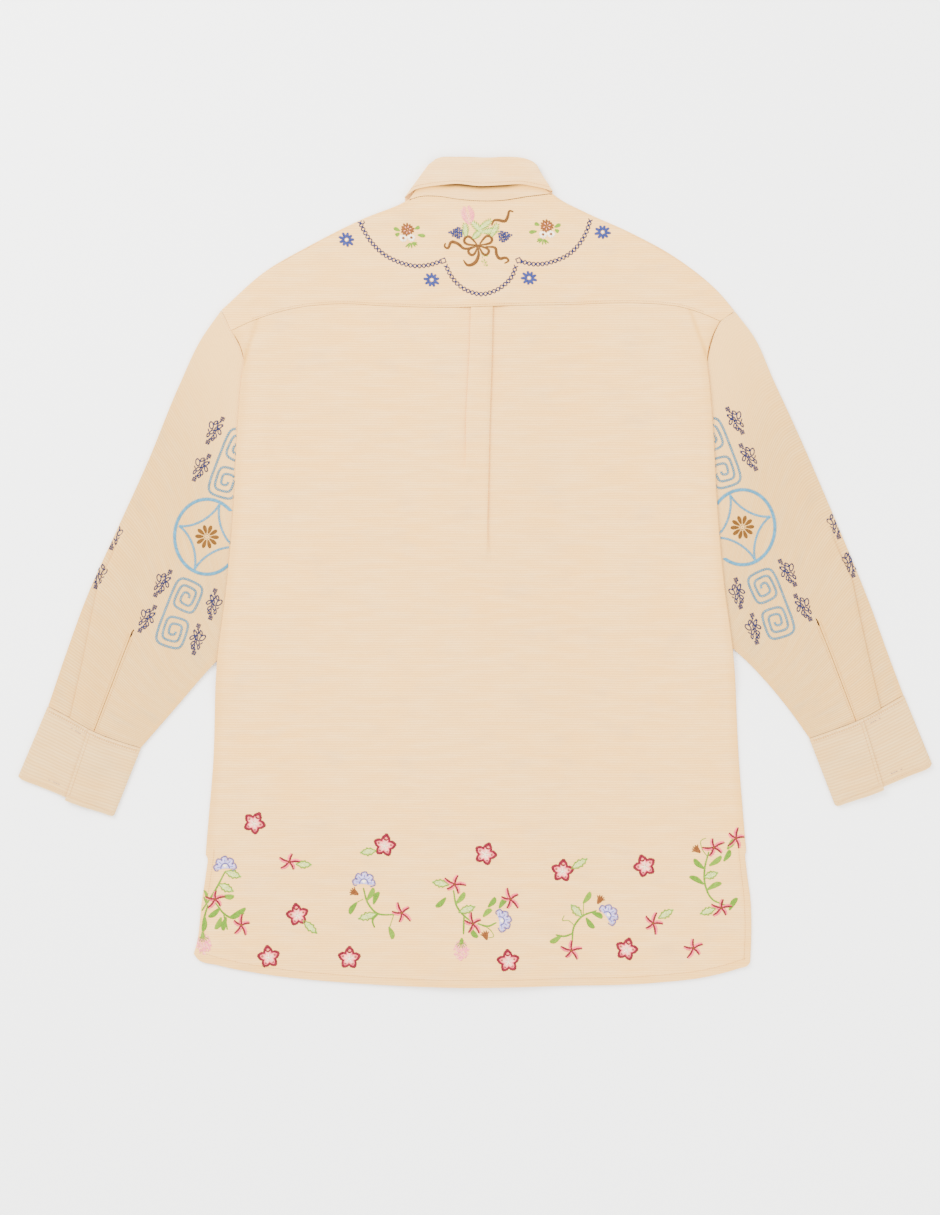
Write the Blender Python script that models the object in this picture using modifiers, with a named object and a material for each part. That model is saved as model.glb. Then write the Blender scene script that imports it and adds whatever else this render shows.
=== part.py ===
"""Long-sleeve shirt, laid flat with its back up.

The fronts lie on z = 0, +Y points to the collar and +X to the right of the
back view. Plan shapes are in millimetres and become metres in the meshes.
"""
import bpy
import bmesh
import numpy as np

MM = 0.001
WELD = 0.00001

# Cloth walls and the air between layers that lie on each other, in mm
CLOTH = 1.0
AIR = 0.4
LAYER = CLOTH + AIR
COLLAR_WALL = 1.1
COLLAR_LAYER = COLLAR_WALL + AIR
CUFF_WALL = 1.6
CUFF_LAYER = CUFF_WALL + AIR
SEAM = 0.3
FACET = 0.4   # more air where two faceted edges meet

# Centre front: the lap of the fronts and the buttons under it, in mm
CENTRE = 6.0
LAP = 15.0
BUTTON_ACROSS = 11.5
BUTTON_THICK = 2.0
BUTTON_STEP = 95.0
BUTTON_TOP = 332.0
BUTTON_COUNT = 7
BUTTON_RISE = BUTTON_THICK + AIR
LAP_RISE = 1.8
COLLAR_RISE = COLLAR_LAYER + 0.1

# How far a layer takes to come down beside what lifts it, in mm
CENTRE_RAMP = 100.0
SLEEVE_RAMP = 50.0
SLEEVE_MARGIN = 20.0
COLLAR_RAMP = 70.0
EDGE_RAMP = 45.0
LAP_RAMP = 40.0
STAND_RAMP = 30.0
SIDE_RAMP = 40.0
END_RAMP = 50.0
STRIP_RAMP = 26.0
STRIP_FADE = 60.0

# Turned side edge of the back panel: its width at the top and below, in mm
LIP_TOP = 2.0
LIP = 12.0
FRONT_INSET = LIP + 3.5
HEM_INSET = 6.0
LIP_START = 262.0
LIP_FULL = 200.0
# From where to where, along the body, its side edge lies higher, in mm
HIGH_EDGE = (-150.0, 330.0)
STRIP_TOP = 350.0
# Spans along the body of a front's side edge and of the sleeve under the back
FRONT_SPAN = (-405.0, 210.0)
UNDER_SPAN = (-95.0, 225.0)
FRONT_HEM = -441.0
HEM_CORNER = 15.0

# Leg of the yoke on the front side, in mm
YOKE_LEG = (16.5, -34.0)

# Box pleat: (along, left edge, right edge), in mm
PLEAT = (
    (288.0, -3.5, 18.5),
    (240.0, -5.0, 17.6),
    (200.0, -7.2, 16.4),
    (165.0, -9.0, 15.2),
    (120.0, -9.6, 14.2),
    (60.0, -9.8, 13.0),
)
# Where each fold of the pleat begins to open and is gone, in mm
PLEAT_END_LEFT = (166.0, 94.0)
PLEAT_END_RIGHT = (82.0, 10.0)
PLEAT_UNDER = 9.0
FOLD_LEAST = 2.2
FOLD_STEEP = 1.6
FOLD_OPEN = 5.0
TURN_SAVES = 0.4
PLEAT_ROOM = 18.0
TUCK_ROOM = 3.0

# Side edges of the body, from the yoke seam to the hem: (across, along)
BODY_LEFT = (
    (-262.8, 261.0), (-254.0, 243.5), (-249.4, 224.0), (-251.6, 207.9),
    (-256.7, 146.3), (-259.8, 83.9), (-268.1, -9.1), (-278.4, -91.7),
    (-283.0, -202.5), (-287.5, -256.0), (-289.9, -284.0), (-290.5, -292.0),
    (-290.6, -296.0), (-288.7, -298.8), (-288.7, -303.0), (-289.9, -312.0),
    (-291.7, -325.0), (-294.6, -343.8), (-299.2, -387.8), (-303.6, -411.0),
)
BODY_RIGHT = (
    (264.4, 271.4), (256.0, 252.0), (250.3, 226.3), (252.5, 205.7),
    (257.3, 146.3), (260.6, 83.9), (268.2, -3.0), (278.6, -83.7),
    (285.1, -199.3), (289.4, -255.0), (291.9, -284.0), (292.6, -292.0),
    (292.7, -296.0), (291.7, -298.8), (291.9, -303.0), (292.9, -312.0),
    (294.3, -325.0), (296.7, -344.0), (298.4, -390.0), (297.2, -419.0),
)
YOKE_SEAM = (
    (-262.8, 261.0), (-239.4, 271.8), (-203.4, 283.5), (-145.8, 290.2),
    (-95.4, 287.8), (-3.7, 286.2), (19.8, 287.1), (102.6, 289.4),
    (178.2, 290.8), (223.3, 286.4), (246.6, 279.0), (264.4, 271.4),
)
HEM = (
    (-303.6, -411.0), (-299.5, -417.0), (-277.2, -423.9), (-236.0, -432.1),
    (-132.8, -443.1), (-23.8, -447.7), (89.6, -446.2), (192.2, -443.0),
    (251.6, -436.0), (284.0, -427.5), (295.0, -423.5), (297.2, -419.0),
)

# Shoulder folds, from the armhole to the neck, and the back neck seam
SHOULDER_LEFT = (
    (-273.2, 283.0), (-225.0, 325.4), (-178.2, 352.4), (-119.6, 381.7),
    (-76.8, 398.9), (-70.5, 402.4),
)
SHOULDER_RIGHT = (
    (279.7, 281.9), (266.1, 298.5), (216.5, 339.4), (167.0, 366.7),
    (117.4, 389.0), (88.0, 404.6), (83.0, 408.6),
)
NECK_BACK = (
    (-70.5, 402.4), (-58.0, 405.8), (-42.2, 406.0), (-17.4, 402.4),
    (7.3, 400.6), (32.2, 401.4), (57.0, 405.4), (83.0, 408.6),
)

# Sleeve edges from the armhole to the cuff, and the armhole and cuff seams
SLEEVE_LEFT = {
    "outer": ((-273.6, 282.4), (-295.2, 251.6), (-318.6, 202.5), (-353.8, 117.0),
              (-384.8, 48.8), (-419.9, -29.7), (-441.4, -88.8), (-460.2, -144.3)),
    "inner": ((-206.0, -4.0), (-242.0, -49.0), (-278.4, -94.2), (-297.6, -115.7),
              (-316.0, -137.2), (-344.0, -169.5), (-361.0, -189.0)),
    "armhole": ((-273.6, 282.4), (-263.6, 260.4), (-255.0, 242.7), (-250.4, 223.5),
                (-244.0, 196.0), (-238.0, 150.0), (-234.0, 100.0), (-230.0, 55.0),
                (-221.0, 22.0), (-206.0, -4.0)),
    "cuff_seam": ((-460.2, -144.3), (-436.0, -157.0), (-412.0, -171.0),
                  (-386.0, -181.2), (-361.0, -189.0)),
}
SLEEVE_RIGHT = {
    "outer": ((280.1, 281.3), (300.8, 253.9), (321.6, 207.9), (345.4, 156.3),
              (386.6, 61.2), (428.0, -40.1), (445.0, -87.0), (461.9, -132.2)),
    "inner": ((206.0, 0.0), (242.0, -42.0), (278.5, -81.5), (297.0, -99.0),
              (325.6, -130.6), (345.0, -155.5), (361.2, -178.5)),
    "armhole": ((280.1, 281.3), (265.8, 270.4), (257.8, 250.6), (252.4, 225.5),
                (246.0, 197.0), (239.0, 150.0), (235.0, 100.0), (231.0, 56.0),
                (221.0, 24.0), (206.0, 0.0)),
    "cuff_seam": ((461.9, -132.2), (438.0, -146.0), (414.0, -159.0),
                  (386.0, -169.8), (361.2, -178.5)),
}

# Cuffs: the seam to the sleeve is above, this is the free end, outer to inner
CUFF_END_LEFT = (
    (-492.2, -220.6), (-489.5, -223.6), (-473.6, -228.4), (-443.1, -241.9),
    (-416.2, -253.6), (-395.6, -264.2), (-390.0, -263.0),
)
CUFF_END_RIGHT = (
    (492.4, -206.5), (490.0, -211.0), (474.4, -216.5), (443.0, -230.6),
    (416.6, -243.0), (395.0, -252.2), (389.0, -250.5),
)

# Slit and pleat of each sleeve, as shares of its width from the outer edge
# and of its length: (across at the top, across at the cuff, along at the top)
SLIT = {"left": (0.44, 0.476, 0.72), "right": (0.44, 0.446, 0.72)}
TUCK = {"left": (0.13, 0.255, 0.64), "right": (0.15, 0.263, 0.72)}
SLIT_GAP = 0.9
TUCK_DEPTH = 9.0
TUCK_OPENS = 0.16
CUFF_LAP = 0.15
CUFF_STEP = 3.2

# Collar: roll at the top of the fall and its free edge on the back
ROLL_BACK = (
    (-49.0, 440.6), (-42.2, 445.2), (-17.4, 447.4), (15.0, 446.6),
    (37.2, 447.4), (54.5, 445.6), (65.7, 439.8), (70.0, 431.6),
)
FALL_EDGE_BACK = (
    (-75.6, 404.3), (-71.4, 407.9), (-65.1, 412.4), (-54.6, 415.0),
    (-39.7, 416.9), (-5.0, 417.6), (32.2, 417.2), (64.4, 415.7),
    (74.3, 413.7), (81.8, 411.4), (83.4, 411.1),
)
# Hidden front of the collar, left half: roll and free edge to the point
ROLL_FRONT = ((-49.0, 440.6), (-30.0, 395.0), (-8.0, 365.0), (3.0, 352.0))
FALL_EDGE_FRONT = ((-75.6, 404.3), (-72.0, 360.0), (-60.0, 328.0), (-42.0, 300.0))
ROLL_FRONT_RIGHT = ((70.0, 431.6), (42.0, 392.0), (20.0, 365.0), (9.0, 352.0))
FALL_EDGE_FRONT_RIGHT = ((83.4, 411.1), (83.0, 364.0), (72.0, 328.0), (54.0, 300.0))
# Front neck seam, left half, from below the yoke's leg to the end of the stand
NECK_FRONT = ((-33.0, 341.0), (-8.0, 322.5), (21.0, 318.0))
STAND_FRONT_TOP = ((-55.0, 424.0), (-42.0, 388.0), (-20.0, 357.0), (0.0, 341.0), (20.0, 339.0))
STAND_FRONT_TOP_RIGHT = ((71.0, 416.0), (54.0, 384.0), (32.0, 357.0), (12.0, 341.0), (-8.0, 339.0))
ROLL_RETURN = 6.0
# Top of the stand inside the fall, across the back
STAND_BACK_TOP = (
    (-42.2, 434.2), (-17.4, 436.4), (15.0, 435.6), (37.2, 436.4), (52.0, 433.0), (62.0, 426.5),
)

CREAM = (0.87, 0.73, 0.56)
CREAM_BAND = (0.84, 0.72, 0.58)
SHELL = (0.80, 0.76, 0.68)


def ease(t):
    """Smooth step from 0 to 1."""
    t = np.clip(t, 0.0, 1.0)
    return t * t * (3.0 - 2.0 * t)


def spline(points, t):
    """Points on a smooth curve through the given ones, t by chord length."""
    p = np.array(points, float)
    chord = np.linalg.norm(np.diff(p, axis=0), axis=1)
    knots = np.concatenate([[0.0], np.cumsum(chord)]) / chord.sum()
    slope = np.gradient(p, knots, axis=0)
    t = np.atleast_1d(np.asarray(t, float))
    k = np.clip(np.searchsorted(knots, t, side="right") - 1, 0, len(p) - 2)
    step = (knots[k + 1] - knots[k])[:, None]
    s = ((t - knots[k]) / step[:, 0])[:, None]
    start = (2 * s**3 - 3 * s**2 + 1) * p[k] + (s**3 - 2 * s**2 + s) * step * slope[k]
    end = (3 * s**2 - 2 * s**3) * p[k + 1] + (s**3 - s**2) * step * slope[k + 1]
    return start + end


def height_at(points, x):
    """Height of a smooth curve that runs from left to right."""
    curve = spline(points, np.linspace(0.0, 1.0, 200))
    return np.interp(x, curve[:, 0], curve[:, 1])


def patch(first, last, left, right, u, v):
    """Points of a sheet between four edges: u runs across, v from first to last."""
    u = np.asarray(u, float)
    v = np.asarray(v, float)
    a = spline(first, u.ravel()).reshape(u.shape + (2,))
    c = spline(last, u.ravel()).reshape(u.shape + (2,))
    o = spline(left, v.ravel()).reshape(v.shape + (2,))
    i = spline(right, v.ravel()).reshape(v.shape + (2,))
    u = u[..., None]
    v = v[..., None]
    corners = ((1 - u) * (1 - v) * np.array(first[0]) + u * (1 - v) * np.array(first[-1])
               + (1 - u) * v * np.array(last[0]) + u * v * np.array(last[-1]))
    return (1 - v) * a + v * c + (1 - u) * o + u * i - corners


def reach(outline, x, y):
    """Distance from points to a closed outline, positive inside it."""
    x = np.asarray(x, float)
    y = np.asarray(y, float)
    best = np.full(x.shape, 1e9)
    inside = np.zeros(x.shape, bool)
    for (ax, ay), (bx, by) in zip(outline, np.roll(outline, -1, axis=0)):
        ex = bx - ax
        ey = by - ay
        t = np.clip(((x - ax) * ex + (y - ay) * ey) / (ex * ex + ey * ey + 1e-12), 0, 1)
        best = np.minimum(best, np.hypot(x - ax - t * ex, y - ay - t * ey))
        crosses = (ay > y) != (by > y)
        with np.errstate(divide="ignore", invalid="ignore"):
            inside ^= crosses & (x < ax + (y - ay) * ex / (ey if ey else 1e-12))
    return np.where(inside, best, -best)


def near(outline, x, y, ramp, margin=0.0):
    """1 as far as the margin round the outline, falling to 0 along the ramp."""
    return ease(1.0 + (margin + reach(outline, x, y)) / ramp)


def mirrored(points):
    """The same points on the other side of the centre front."""
    return tuple((2.0 * CENTRE - x, y) for x, y in points)


def shifted(points, dx, dy):
    return tuple((x + dx, y + dy) for x, y in points)


def front_side(edge, side):
    """Side edge of a front panel, inside the back panel's turned edge."""
    return [(x - side * FRONT_INSET, y) for x, y in edge if FRONT_SPAN[0] < y < FRONT_SPAN[1]]


def front_edges(side):
    """Top, hem, side and centre edges of a front panel; side is -1 or 1."""
    body = BODY_LEFT if side < 0 else BODY_RIGHT
    shoulder = SHOULDER_LEFT if side < 0 else SHOULDER_RIGHT
    neck = NECK_FRONT if side < 0 else mirrored(NECK_FRONT)
    leg = (-side * YOKE_LEG[0], YOKE_LEG[1] - SEAM - 3.0 * FACET)
    seam = shifted(shoulder, *leg)
    top = [*seam, *neck]
    edge = front_side(body, side)
    sleeve = SLEEVE_LEFT if side < 0 else SLEEVE_RIGHT
    turn = sleeve["armhole"][3]
    outer = [top[0], (turn[0] - side, turn[1]), *edge]
    centre_x = CENTRE - side * LAP
    centre = [top[-1], *((centre_x, y) for y in (200.0, 0.0, -200.0, FRONT_HEM))]
    low = outer[-1]
    hem_inner = [(x, y + HEM_INSET) for x, y in HEM if abs(x) < abs(low[0]) - HEM_CORNER]
    if side < 0:
        hem = [low] + [p for p in hem_inner if p[0] < centre_x - 10.0] + [centre[-1]]
    else:
        hem = [low] + [p for p in hem_inner[::-1] if p[0] > centre_x + 10.0] + [centre[-1]]
    return top, hem, outer, centre


def front_outline(side):
    top, hem, outer, centre = front_edges(side)
    return np.array(list(outer) + list(hem[1:]) + list(centre[::-1]) + list(top[::-1]))


def under_body(sleeve, body):
    """Outline of the part of a sleeve that lies under the back panel."""
    hidden = [p for p in sleeve["armhole"] if p[1] < UNDER_SPAN[1]]
    way_out = [p for p in sleeve["inner"] if p[1] > UNDER_SPAN[0]]
    edge = [p for p in body if UNDER_SPAN[0] < p[1] < UNDER_SPAN[1]]
    return np.array(hidden + way_out[1:] + edge[::-1])


COLLAR_FRONT = np.array(
    list(FALL_EDGE_FRONT) + list(ROLL_FRONT[::-1][:1]) + list(ROLL_FRONT_RIGHT[::-1][:1])
    + list(FALL_EDGE_FRONT_RIGHT[::-1]) + [(76.0, 440.0), (20.0, 449.0), (-52.0, 446.0)]
)
UNDER_LEFT = under_body(SLEEVE_LEFT, BODY_LEFT)
UNDER_RIGHT = under_body(SLEEVE_RIGHT, BODY_RIGHT)
BODY = np.array(list(BODY_LEFT) + list(HEM[1:-1]) + list(BODY_RIGHT[::-1])
                + [(240.0, 340.0), (0.0, 430.0), (-240.0, 340.0)])


def strip(x, half, ramp):
    """1 over the lap at the centre front, falling to 0 beside it."""
    return ease((half + ramp - np.abs(x - CENTRE)) / ramp)


def front_level(x, y):
    """Underside of a front: over the buttons and the collar's points."""
    over_buttons = BUTTON_RISE * strip(x, LAP, CENTRE_RAMP)
    over_collar = COLLAR_RISE * near(COLLAR_FRONT, x, y, COLLAR_RAMP)
    return np.maximum(over_buttons, over_collar)


def inner_front_level(x, y):
    """Underside of the left front, which lies on the right one at the lap."""
    return front_level(x, y) + LAYER * ease((x - CENTRE + LAP + LAP_RAMP) / LAP_RAMP)


def back_level(x, y):
    """Underside of the yoke and back panel, over all that lies below."""
    sleeves = np.maximum(near(UNDER_LEFT, x, y, SLEEVE_RAMP, SLEEVE_MARGIN),
                         near(UNDER_RIGHT, x, y, SLEEVE_RAMP, SLEEVE_MARGIN))
    edge = ease((LIP + SIDE_RAMP - reach(BODY, x, y)) / SIDE_RAMP)
    upper = ease((y - HIGH_EDGE[0]) / END_RAMP) * ease((HIGH_EDGE[1] - y) / END_RAMP)
    lap = LAP_RISE * strip(x, LAP, CENTRE_RAMP)
    return front_level(x, y) + lap + LAYER + 2.0 * LAYER * sleeves + LAYER * edge * upper


def leg_outline(shoulder, side):
    """Outline of the yoke's leg on the front side."""
    low = shifted(shoulder, -side * YOKE_LEG[0], YOKE_LEG[1])
    return np.array(list(shoulder) + list(low[::-1]))


FRONT_LEFT = front_outline(-1)
FRONT_RIGHT = front_outline(1)
FLOOR_PIECES = (FRONT_LEFT, FRONT_RIGHT, leg_outline(SHOULDER_LEFT, -1),
                leg_outline(SHOULDER_RIGHT, 1))


def sleeve_level(x, y):
    """Underside of a sleeve's lower layer, which climbs on to the front."""
    over = [near(outline, x, y, EDGE_RAMP) for outline in FLOOR_PIECES]
    return LAYER * np.max(over, axis=0)


def material(name, colour, roughness):
    """One Principled material for a piece."""
    made = bpy.data.materials.new(name)
    made.use_nodes = True
    shader = made.node_tree.nodes["Principled BSDF"]
    shader.inputs["Base Color"].default_value = (*colour, 1.0)
    shader.inputs["Roughness"].default_value = roughness
    shader.inputs["Metallic"].default_value = 0.0
    return made


def sheet(name, points, thick, colour, ring=False, gone=None):
    """A wall of cloth on a grid of mid-surface points, rows by columns, in mm.

    A ring closes on its first column, and gone tells which cells stay open.
    """
    points = np.asarray(points, float)
    if ring:
        points = np.concatenate([points, points[:, :1]], axis=1)
    rows, columns = points.shape[:2]
    shape = bmesh.new()
    bmesh.ops.create_grid(shape, x_segments=columns - 1, y_segments=rows - 1, size=1.0)
    across = 0.5 * (columns - 1)
    down = 0.5 * (rows - 1)
    opened = []
    for face in shape.faces:
        centre = face.calc_center_median()
        cell = (int((1.0 - centre.y) * down), int((centre.x + 1.0) * across))
        if gone and gone(*cell):
            opened.append(face)
    for vert in shape.verts:
        row = round((1.0 - vert.co.y) * down)
        column = round((vert.co.x + 1.0) * across)
        vert.co = points[row, column] * MM
    bmesh.ops.delete(shape, geom=opened, context="FACES")
    bmesh.ops.remove_doubles(shape, verts=shape.verts, dist=WELD)
    shape.normal_update()
    mesh = bpy.data.meshes.new(name)
    shape.to_mesh(mesh)
    shape.free()
    made = bpy.data.objects.new(name, mesh)
    SHIRT.objects.link(made)
    wall = made.modifiers.new("cloth", "SOLIDIFY")
    wall.thickness = thick * MM
    wall.offset = 0.0
    wall.use_even_offset = True
    press(made)
    made.data.materials.append(material(name, colour, 0.85))
    return made


def press(piece):
    """Apply the wall and press what would reach below the surface flat on it."""
    evaluated = piece.evaluated_get(bpy.context.evaluated_depsgraph_get())
    mesh = bpy.data.meshes.new_from_object(evaluated)
    piece.modifiers.clear()
    piece.data = mesh
    mesh.name = piece.name
    for vert in mesh.vertices:
        vert.co.z = max(vert.co.z, 0.0)


def lifted(plan, level, thick):
    """Mid-surface points on a plan, with their underside at a level."""
    height = level(plan[..., 0], plan[..., 1]) + thick / 2.0
    return np.concatenate([plan, height[..., None]], axis=-1)


def fold(edge_side, depth, angle):
    """Four points of an S-shaped fold: offsets across and up, in mm.

    edge_side is 1 where the upper part lies to the right of the fold. The
    middle run turns from 180 degrees, folded back, to 0, open and flat.
    """
    turn = np.radians(angle)
    corner = LAYER - TURN_SAVES * np.sin(turn)
    middle = depth
    if angle < 180.0:
        middle = FOLD_STEEP + (FOLD_OPEN - FOLD_STEEP) * max(0.0, 1.0 - angle / 90.0)
        middle += (depth - FOLD_STEEP) * max(0.0, angle / 90.0 - 1.0)
    runs = ((corner, turn / 2.0), (middle, turn), (corner, turn / 2.0))
    dx = np.concatenate([[0.0], np.cumsum([r * np.cos(t) for r, t in runs])])
    dz = np.concatenate([[0.0], np.cumsum([r * np.sin(t) for r, t in runs])])
    dx = dx - dx[2]
    if edge_side < 0:
        return -dx[::-1], dz[::-1]
    return dx, dz


def pleat_at(y):
    """Left and right edges of the box pleat's strip at a height on the back."""
    table = np.array(PLEAT)[::-1]
    return [np.interp(y, table[:, 0], table[:, k]) for k in (1, 2)]


def pleat_fold(y, side, end):
    """Offsets of one fold of the pleat at a height on the back."""
    start, gone = end
    depth = FOLD_LEAST + (PLEAT_UNDER - FOLD_LEAST) * ease((y - start) / (PLEAT[0][0] - start))
    angle = 180.0 * np.clip((y - gone) / (start - gone), 0.0, 1.0)
    return fold(side, float(depth), float(angle))


# Rows of the back panel: how far down each is at the centre, in mm
BACK_DOWN = (0.0, 20.0, 45.0, 75.0, 100.0, 120.0, 134.0, 149.0, 163.0, 178.0, 192.0, 204.0,
             218.0, 233.0, 247.0, 262.0, 276.0, 310.0, 350.0, 395.0, 440.0, 500.0, 560.0,
             596.0, 601.0, 605.0, 612.0, 650.0, 695.0, 733.5)
INSETS = (9.0, 24.0, 48.0, 80.0, 115.0, 150.0, 185.0, 212.0)


def back_panel():
    """Back panel with its turned side edges and its box pleat."""
    grid = []
    for down in BACK_DOWN:
        v = down / BACK_DOWN[-1]
        left = spline(BODY_LEFT, v)[0]
        right = spline(BODY_RIGHT, v)[0]
        lip = LIP_TOP + (LIP - LIP_TOP) * ease((LIP_START - left[1]) / (LIP_START - LIP_FULL))

        def plan(x):
            share = (x - left[0]) / (right[0] - left[0])
            y = left[1] + share * (right[1] - left[1])
            top = height_at(YOKE_SEAM, x) - SEAM - FACET
            top_line = BODY_LEFT[0][1] + share * (BODY_RIGHT[0][1] - BODY_LEFT[0][1])
            low = height_at(HEM, x)
            low_line = BODY_LEFT[-1][1] + share * (BODY_RIGHT[-1][1] - BODY_LEFT[-1][1])
            return y + (1 - v) * (top - top_line) + v * (low - low_line)

        half = CLOTH / 2.0
        y_mid = plan(CENTRE)
        edge_left, edge_right = pleat_at(y_mid)
        row = []
        for inset, drop in ((lip, LAYER), (half, LAYER), (half, 0.0)):
            x = left[0] + inset
            row.append((x, plan(x), -drop))
        for inset in INSETS:
            x = left[0] + inset * (1.0 + 0.1 * v)
            row.append((x, plan(x), 0.0))
        row.append((edge_left - PLEAT_ROOM, plan(edge_left - PLEAT_ROOM), 0.0))
        dx_left, dz_left = pleat_fold(y_mid, 1, PLEAT_END_LEFT)
        dx_right, dz_right = pleat_fold(y_mid, -1, PLEAT_END_RIGHT)
        for dx, dz in zip(dx_left, dz_left):
            row.append((edge_left + dx, plan(edge_left), dz))
        middle = 0.5 * (edge_left + edge_right)
        row.append((middle, plan(middle), 0.5 * (dz_left[-1] + dz_right[0])))
        for dx, dz in zip(dx_right, dz_right):
            row.append((edge_right + dx, plan(edge_right), dz))
        row.append((edge_right + PLEAT_ROOM, plan(edge_right + PLEAT_ROOM), 0.0))
        for inset in INSETS[::-1]:
            x = right[0] - inset * (1.0 + 0.1 * v)
            row.append((x, plan(x), 0.0))
        for inset, drop in ((half, 0.0), (half, LAYER), (lip, LAYER)):
            x = right[0] - inset
            row.append((x, plan(x), -drop))
        row = np.array(row)
        level = back_level(row[:, 0], row[:, 1]) + CLOTH / 2.0 + row[:, 2]
        grid.append(np.column_stack([row[:, 0], row[:, 1], level]))
    return sheet("back_panel", grid, CLOTH, CREAM)


def yoke_level(x, y):
    """The back's level, raised where the pleat's strip meets the seam."""
    edge_left, edge_right = pleat_at(y)
    middle = 0.5 * (edge_left + edge_right)
    half = 0.5 * (edge_right - edge_left)
    over = ease((half + STRIP_RAMP - np.abs(x - middle)) / STRIP_RAMP)
    over = over * ease((STRIP_TOP - y) / STRIP_FADE)
    return back_level(x, y) + 2.0 * LAYER * over


SHOULDER_SHARES = (0.0, 0.1, 0.22, 0.36, 0.5, 0.64, 0.78, 0.9, 1.0)
NECK_SHARES = (0.12, 0.25, 0.37, 0.46, 0.54, 0.63, 0.75, 0.88)
YOKE_ROWS = (0.0, 0.12, 0.28, 0.46, 0.64, 0.82, 1.0)


def yoke():
    """Yoke from the back seam over the shoulder fold to its front seam."""
    left = spline(SHOULDER_LEFT, SHOULDER_SHARES)
    neck = spline(NECK_BACK, NECK_SHARES)
    right = spline(SHOULDER_RIGHT, SHOULDER_SHARES)[::-1]
    top = np.concatenate([left, neck, right])
    count = len(top)
    is_neck = np.zeros(count, bool)
    is_neck[len(left):len(left) + len(neck)] = True
    share = (top[:, 0] - top[0, 0]) / (top[-1, 0] - top[0, 0])
    seam_x = YOKE_SEAM[0][0] + share * (YOKE_SEAM[-1][0] - YOKE_SEAM[0][0])
    low = np.column_stack([seam_x, height_at(YOKE_SEAM, seam_x)])
    grid = []
    for v in YOKE_ROWS:
        plan = low + v * (top - low)
        grid.append(lifted(plan, yoke_level, CLOTH))
    leg = np.zeros((count, 2))
    side = np.sign(top[:, 0] - CENTRE)
    leg[:, 0] = -side * YOKE_LEG[0]
    leg[:, 1] = YOKE_LEG[1]
    leg[is_neck] = 0.0
    for v in (0.0, 0.5, 1.0):
        plan = top + v * leg
        grid.append(lifted(plan, front_level, CLOTH))
    fold_row = len(YOKE_ROWS) - 1
    first = len(left) - 1
    last = len(left) + len(neck)

    def neck_hole(row, column):
        return row >= fold_row and first <= column < last

    return sheet("yoke", grid, CLOTH, CREAM, gone=neck_hole)


FRONT_SHOULDER = (0.0, 0.09, 0.22, 0.38, 0.54, 0.7, 0.86, 1.0)
FRONT_NECK = (0.12, 0.26, 0.4, 0.55, 0.7, 0.85, 1.0)
FRONT_DOWN = (0.0, 0.04, 0.09, 0.15, 0.22, 0.30, 0.38, 0.46, 0.54, 0.62, 0.71, 0.80, 0.90, 1.0)


def front_across(side):
    """Shares of a front's columns along its top, and the one at the neck corner."""
    top = np.array(front_edges(side)[0])
    chord = np.linalg.norm(np.diff(top, axis=0), axis=1)
    neck = NECK_FRONT if side < 0 else mirrored(NECK_FRONT)
    corner = chord[:len(top) - len(neck) - 1].sum() / chord.sum()
    shoulder = [corner * share for share in FRONT_SHOULDER]
    return shoulder + [corner + share * (1.0 - corner) for share in FRONT_NECK]


def neck_seam(side):
    """Points of a front's neck seam, from the yoke's leg to the lap."""
    across = front_across(side)[len(FRONT_SHOULDER) - 1:]
    return spline(front_edges(side)[0], across)


def front(name, side, level):
    """A front panel, from the yoke's leg and the neck seam to the hem."""
    u, v = np.meshgrid(front_across(side), FRONT_DOWN)
    plan = patch(*front_edges(side), u, v)
    return sheet(name, lifted(plan, level, CLOTH), CLOTH, CREAM)


SLEEVE_DOWN = (0.0, 0.04, 0.09, 0.15, 0.22, 0.30, 0.38, 0.44, 0.48, 0.52, 0.56, 0.60, 0.64,
               0.68, 0.72, 0.76, 0.80, 0.85, 0.90, 0.95, 1.0)
SLEEVE_UNDER = (1.0, 0.94, 0.84, 0.70, 0.55, 0.40, 0.25, 0.12, 0.04, 0.0)
PAST_SLIT = (0.10, 0.30, 0.50, 0.70, 0.86, 0.95, 1.0)


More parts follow.
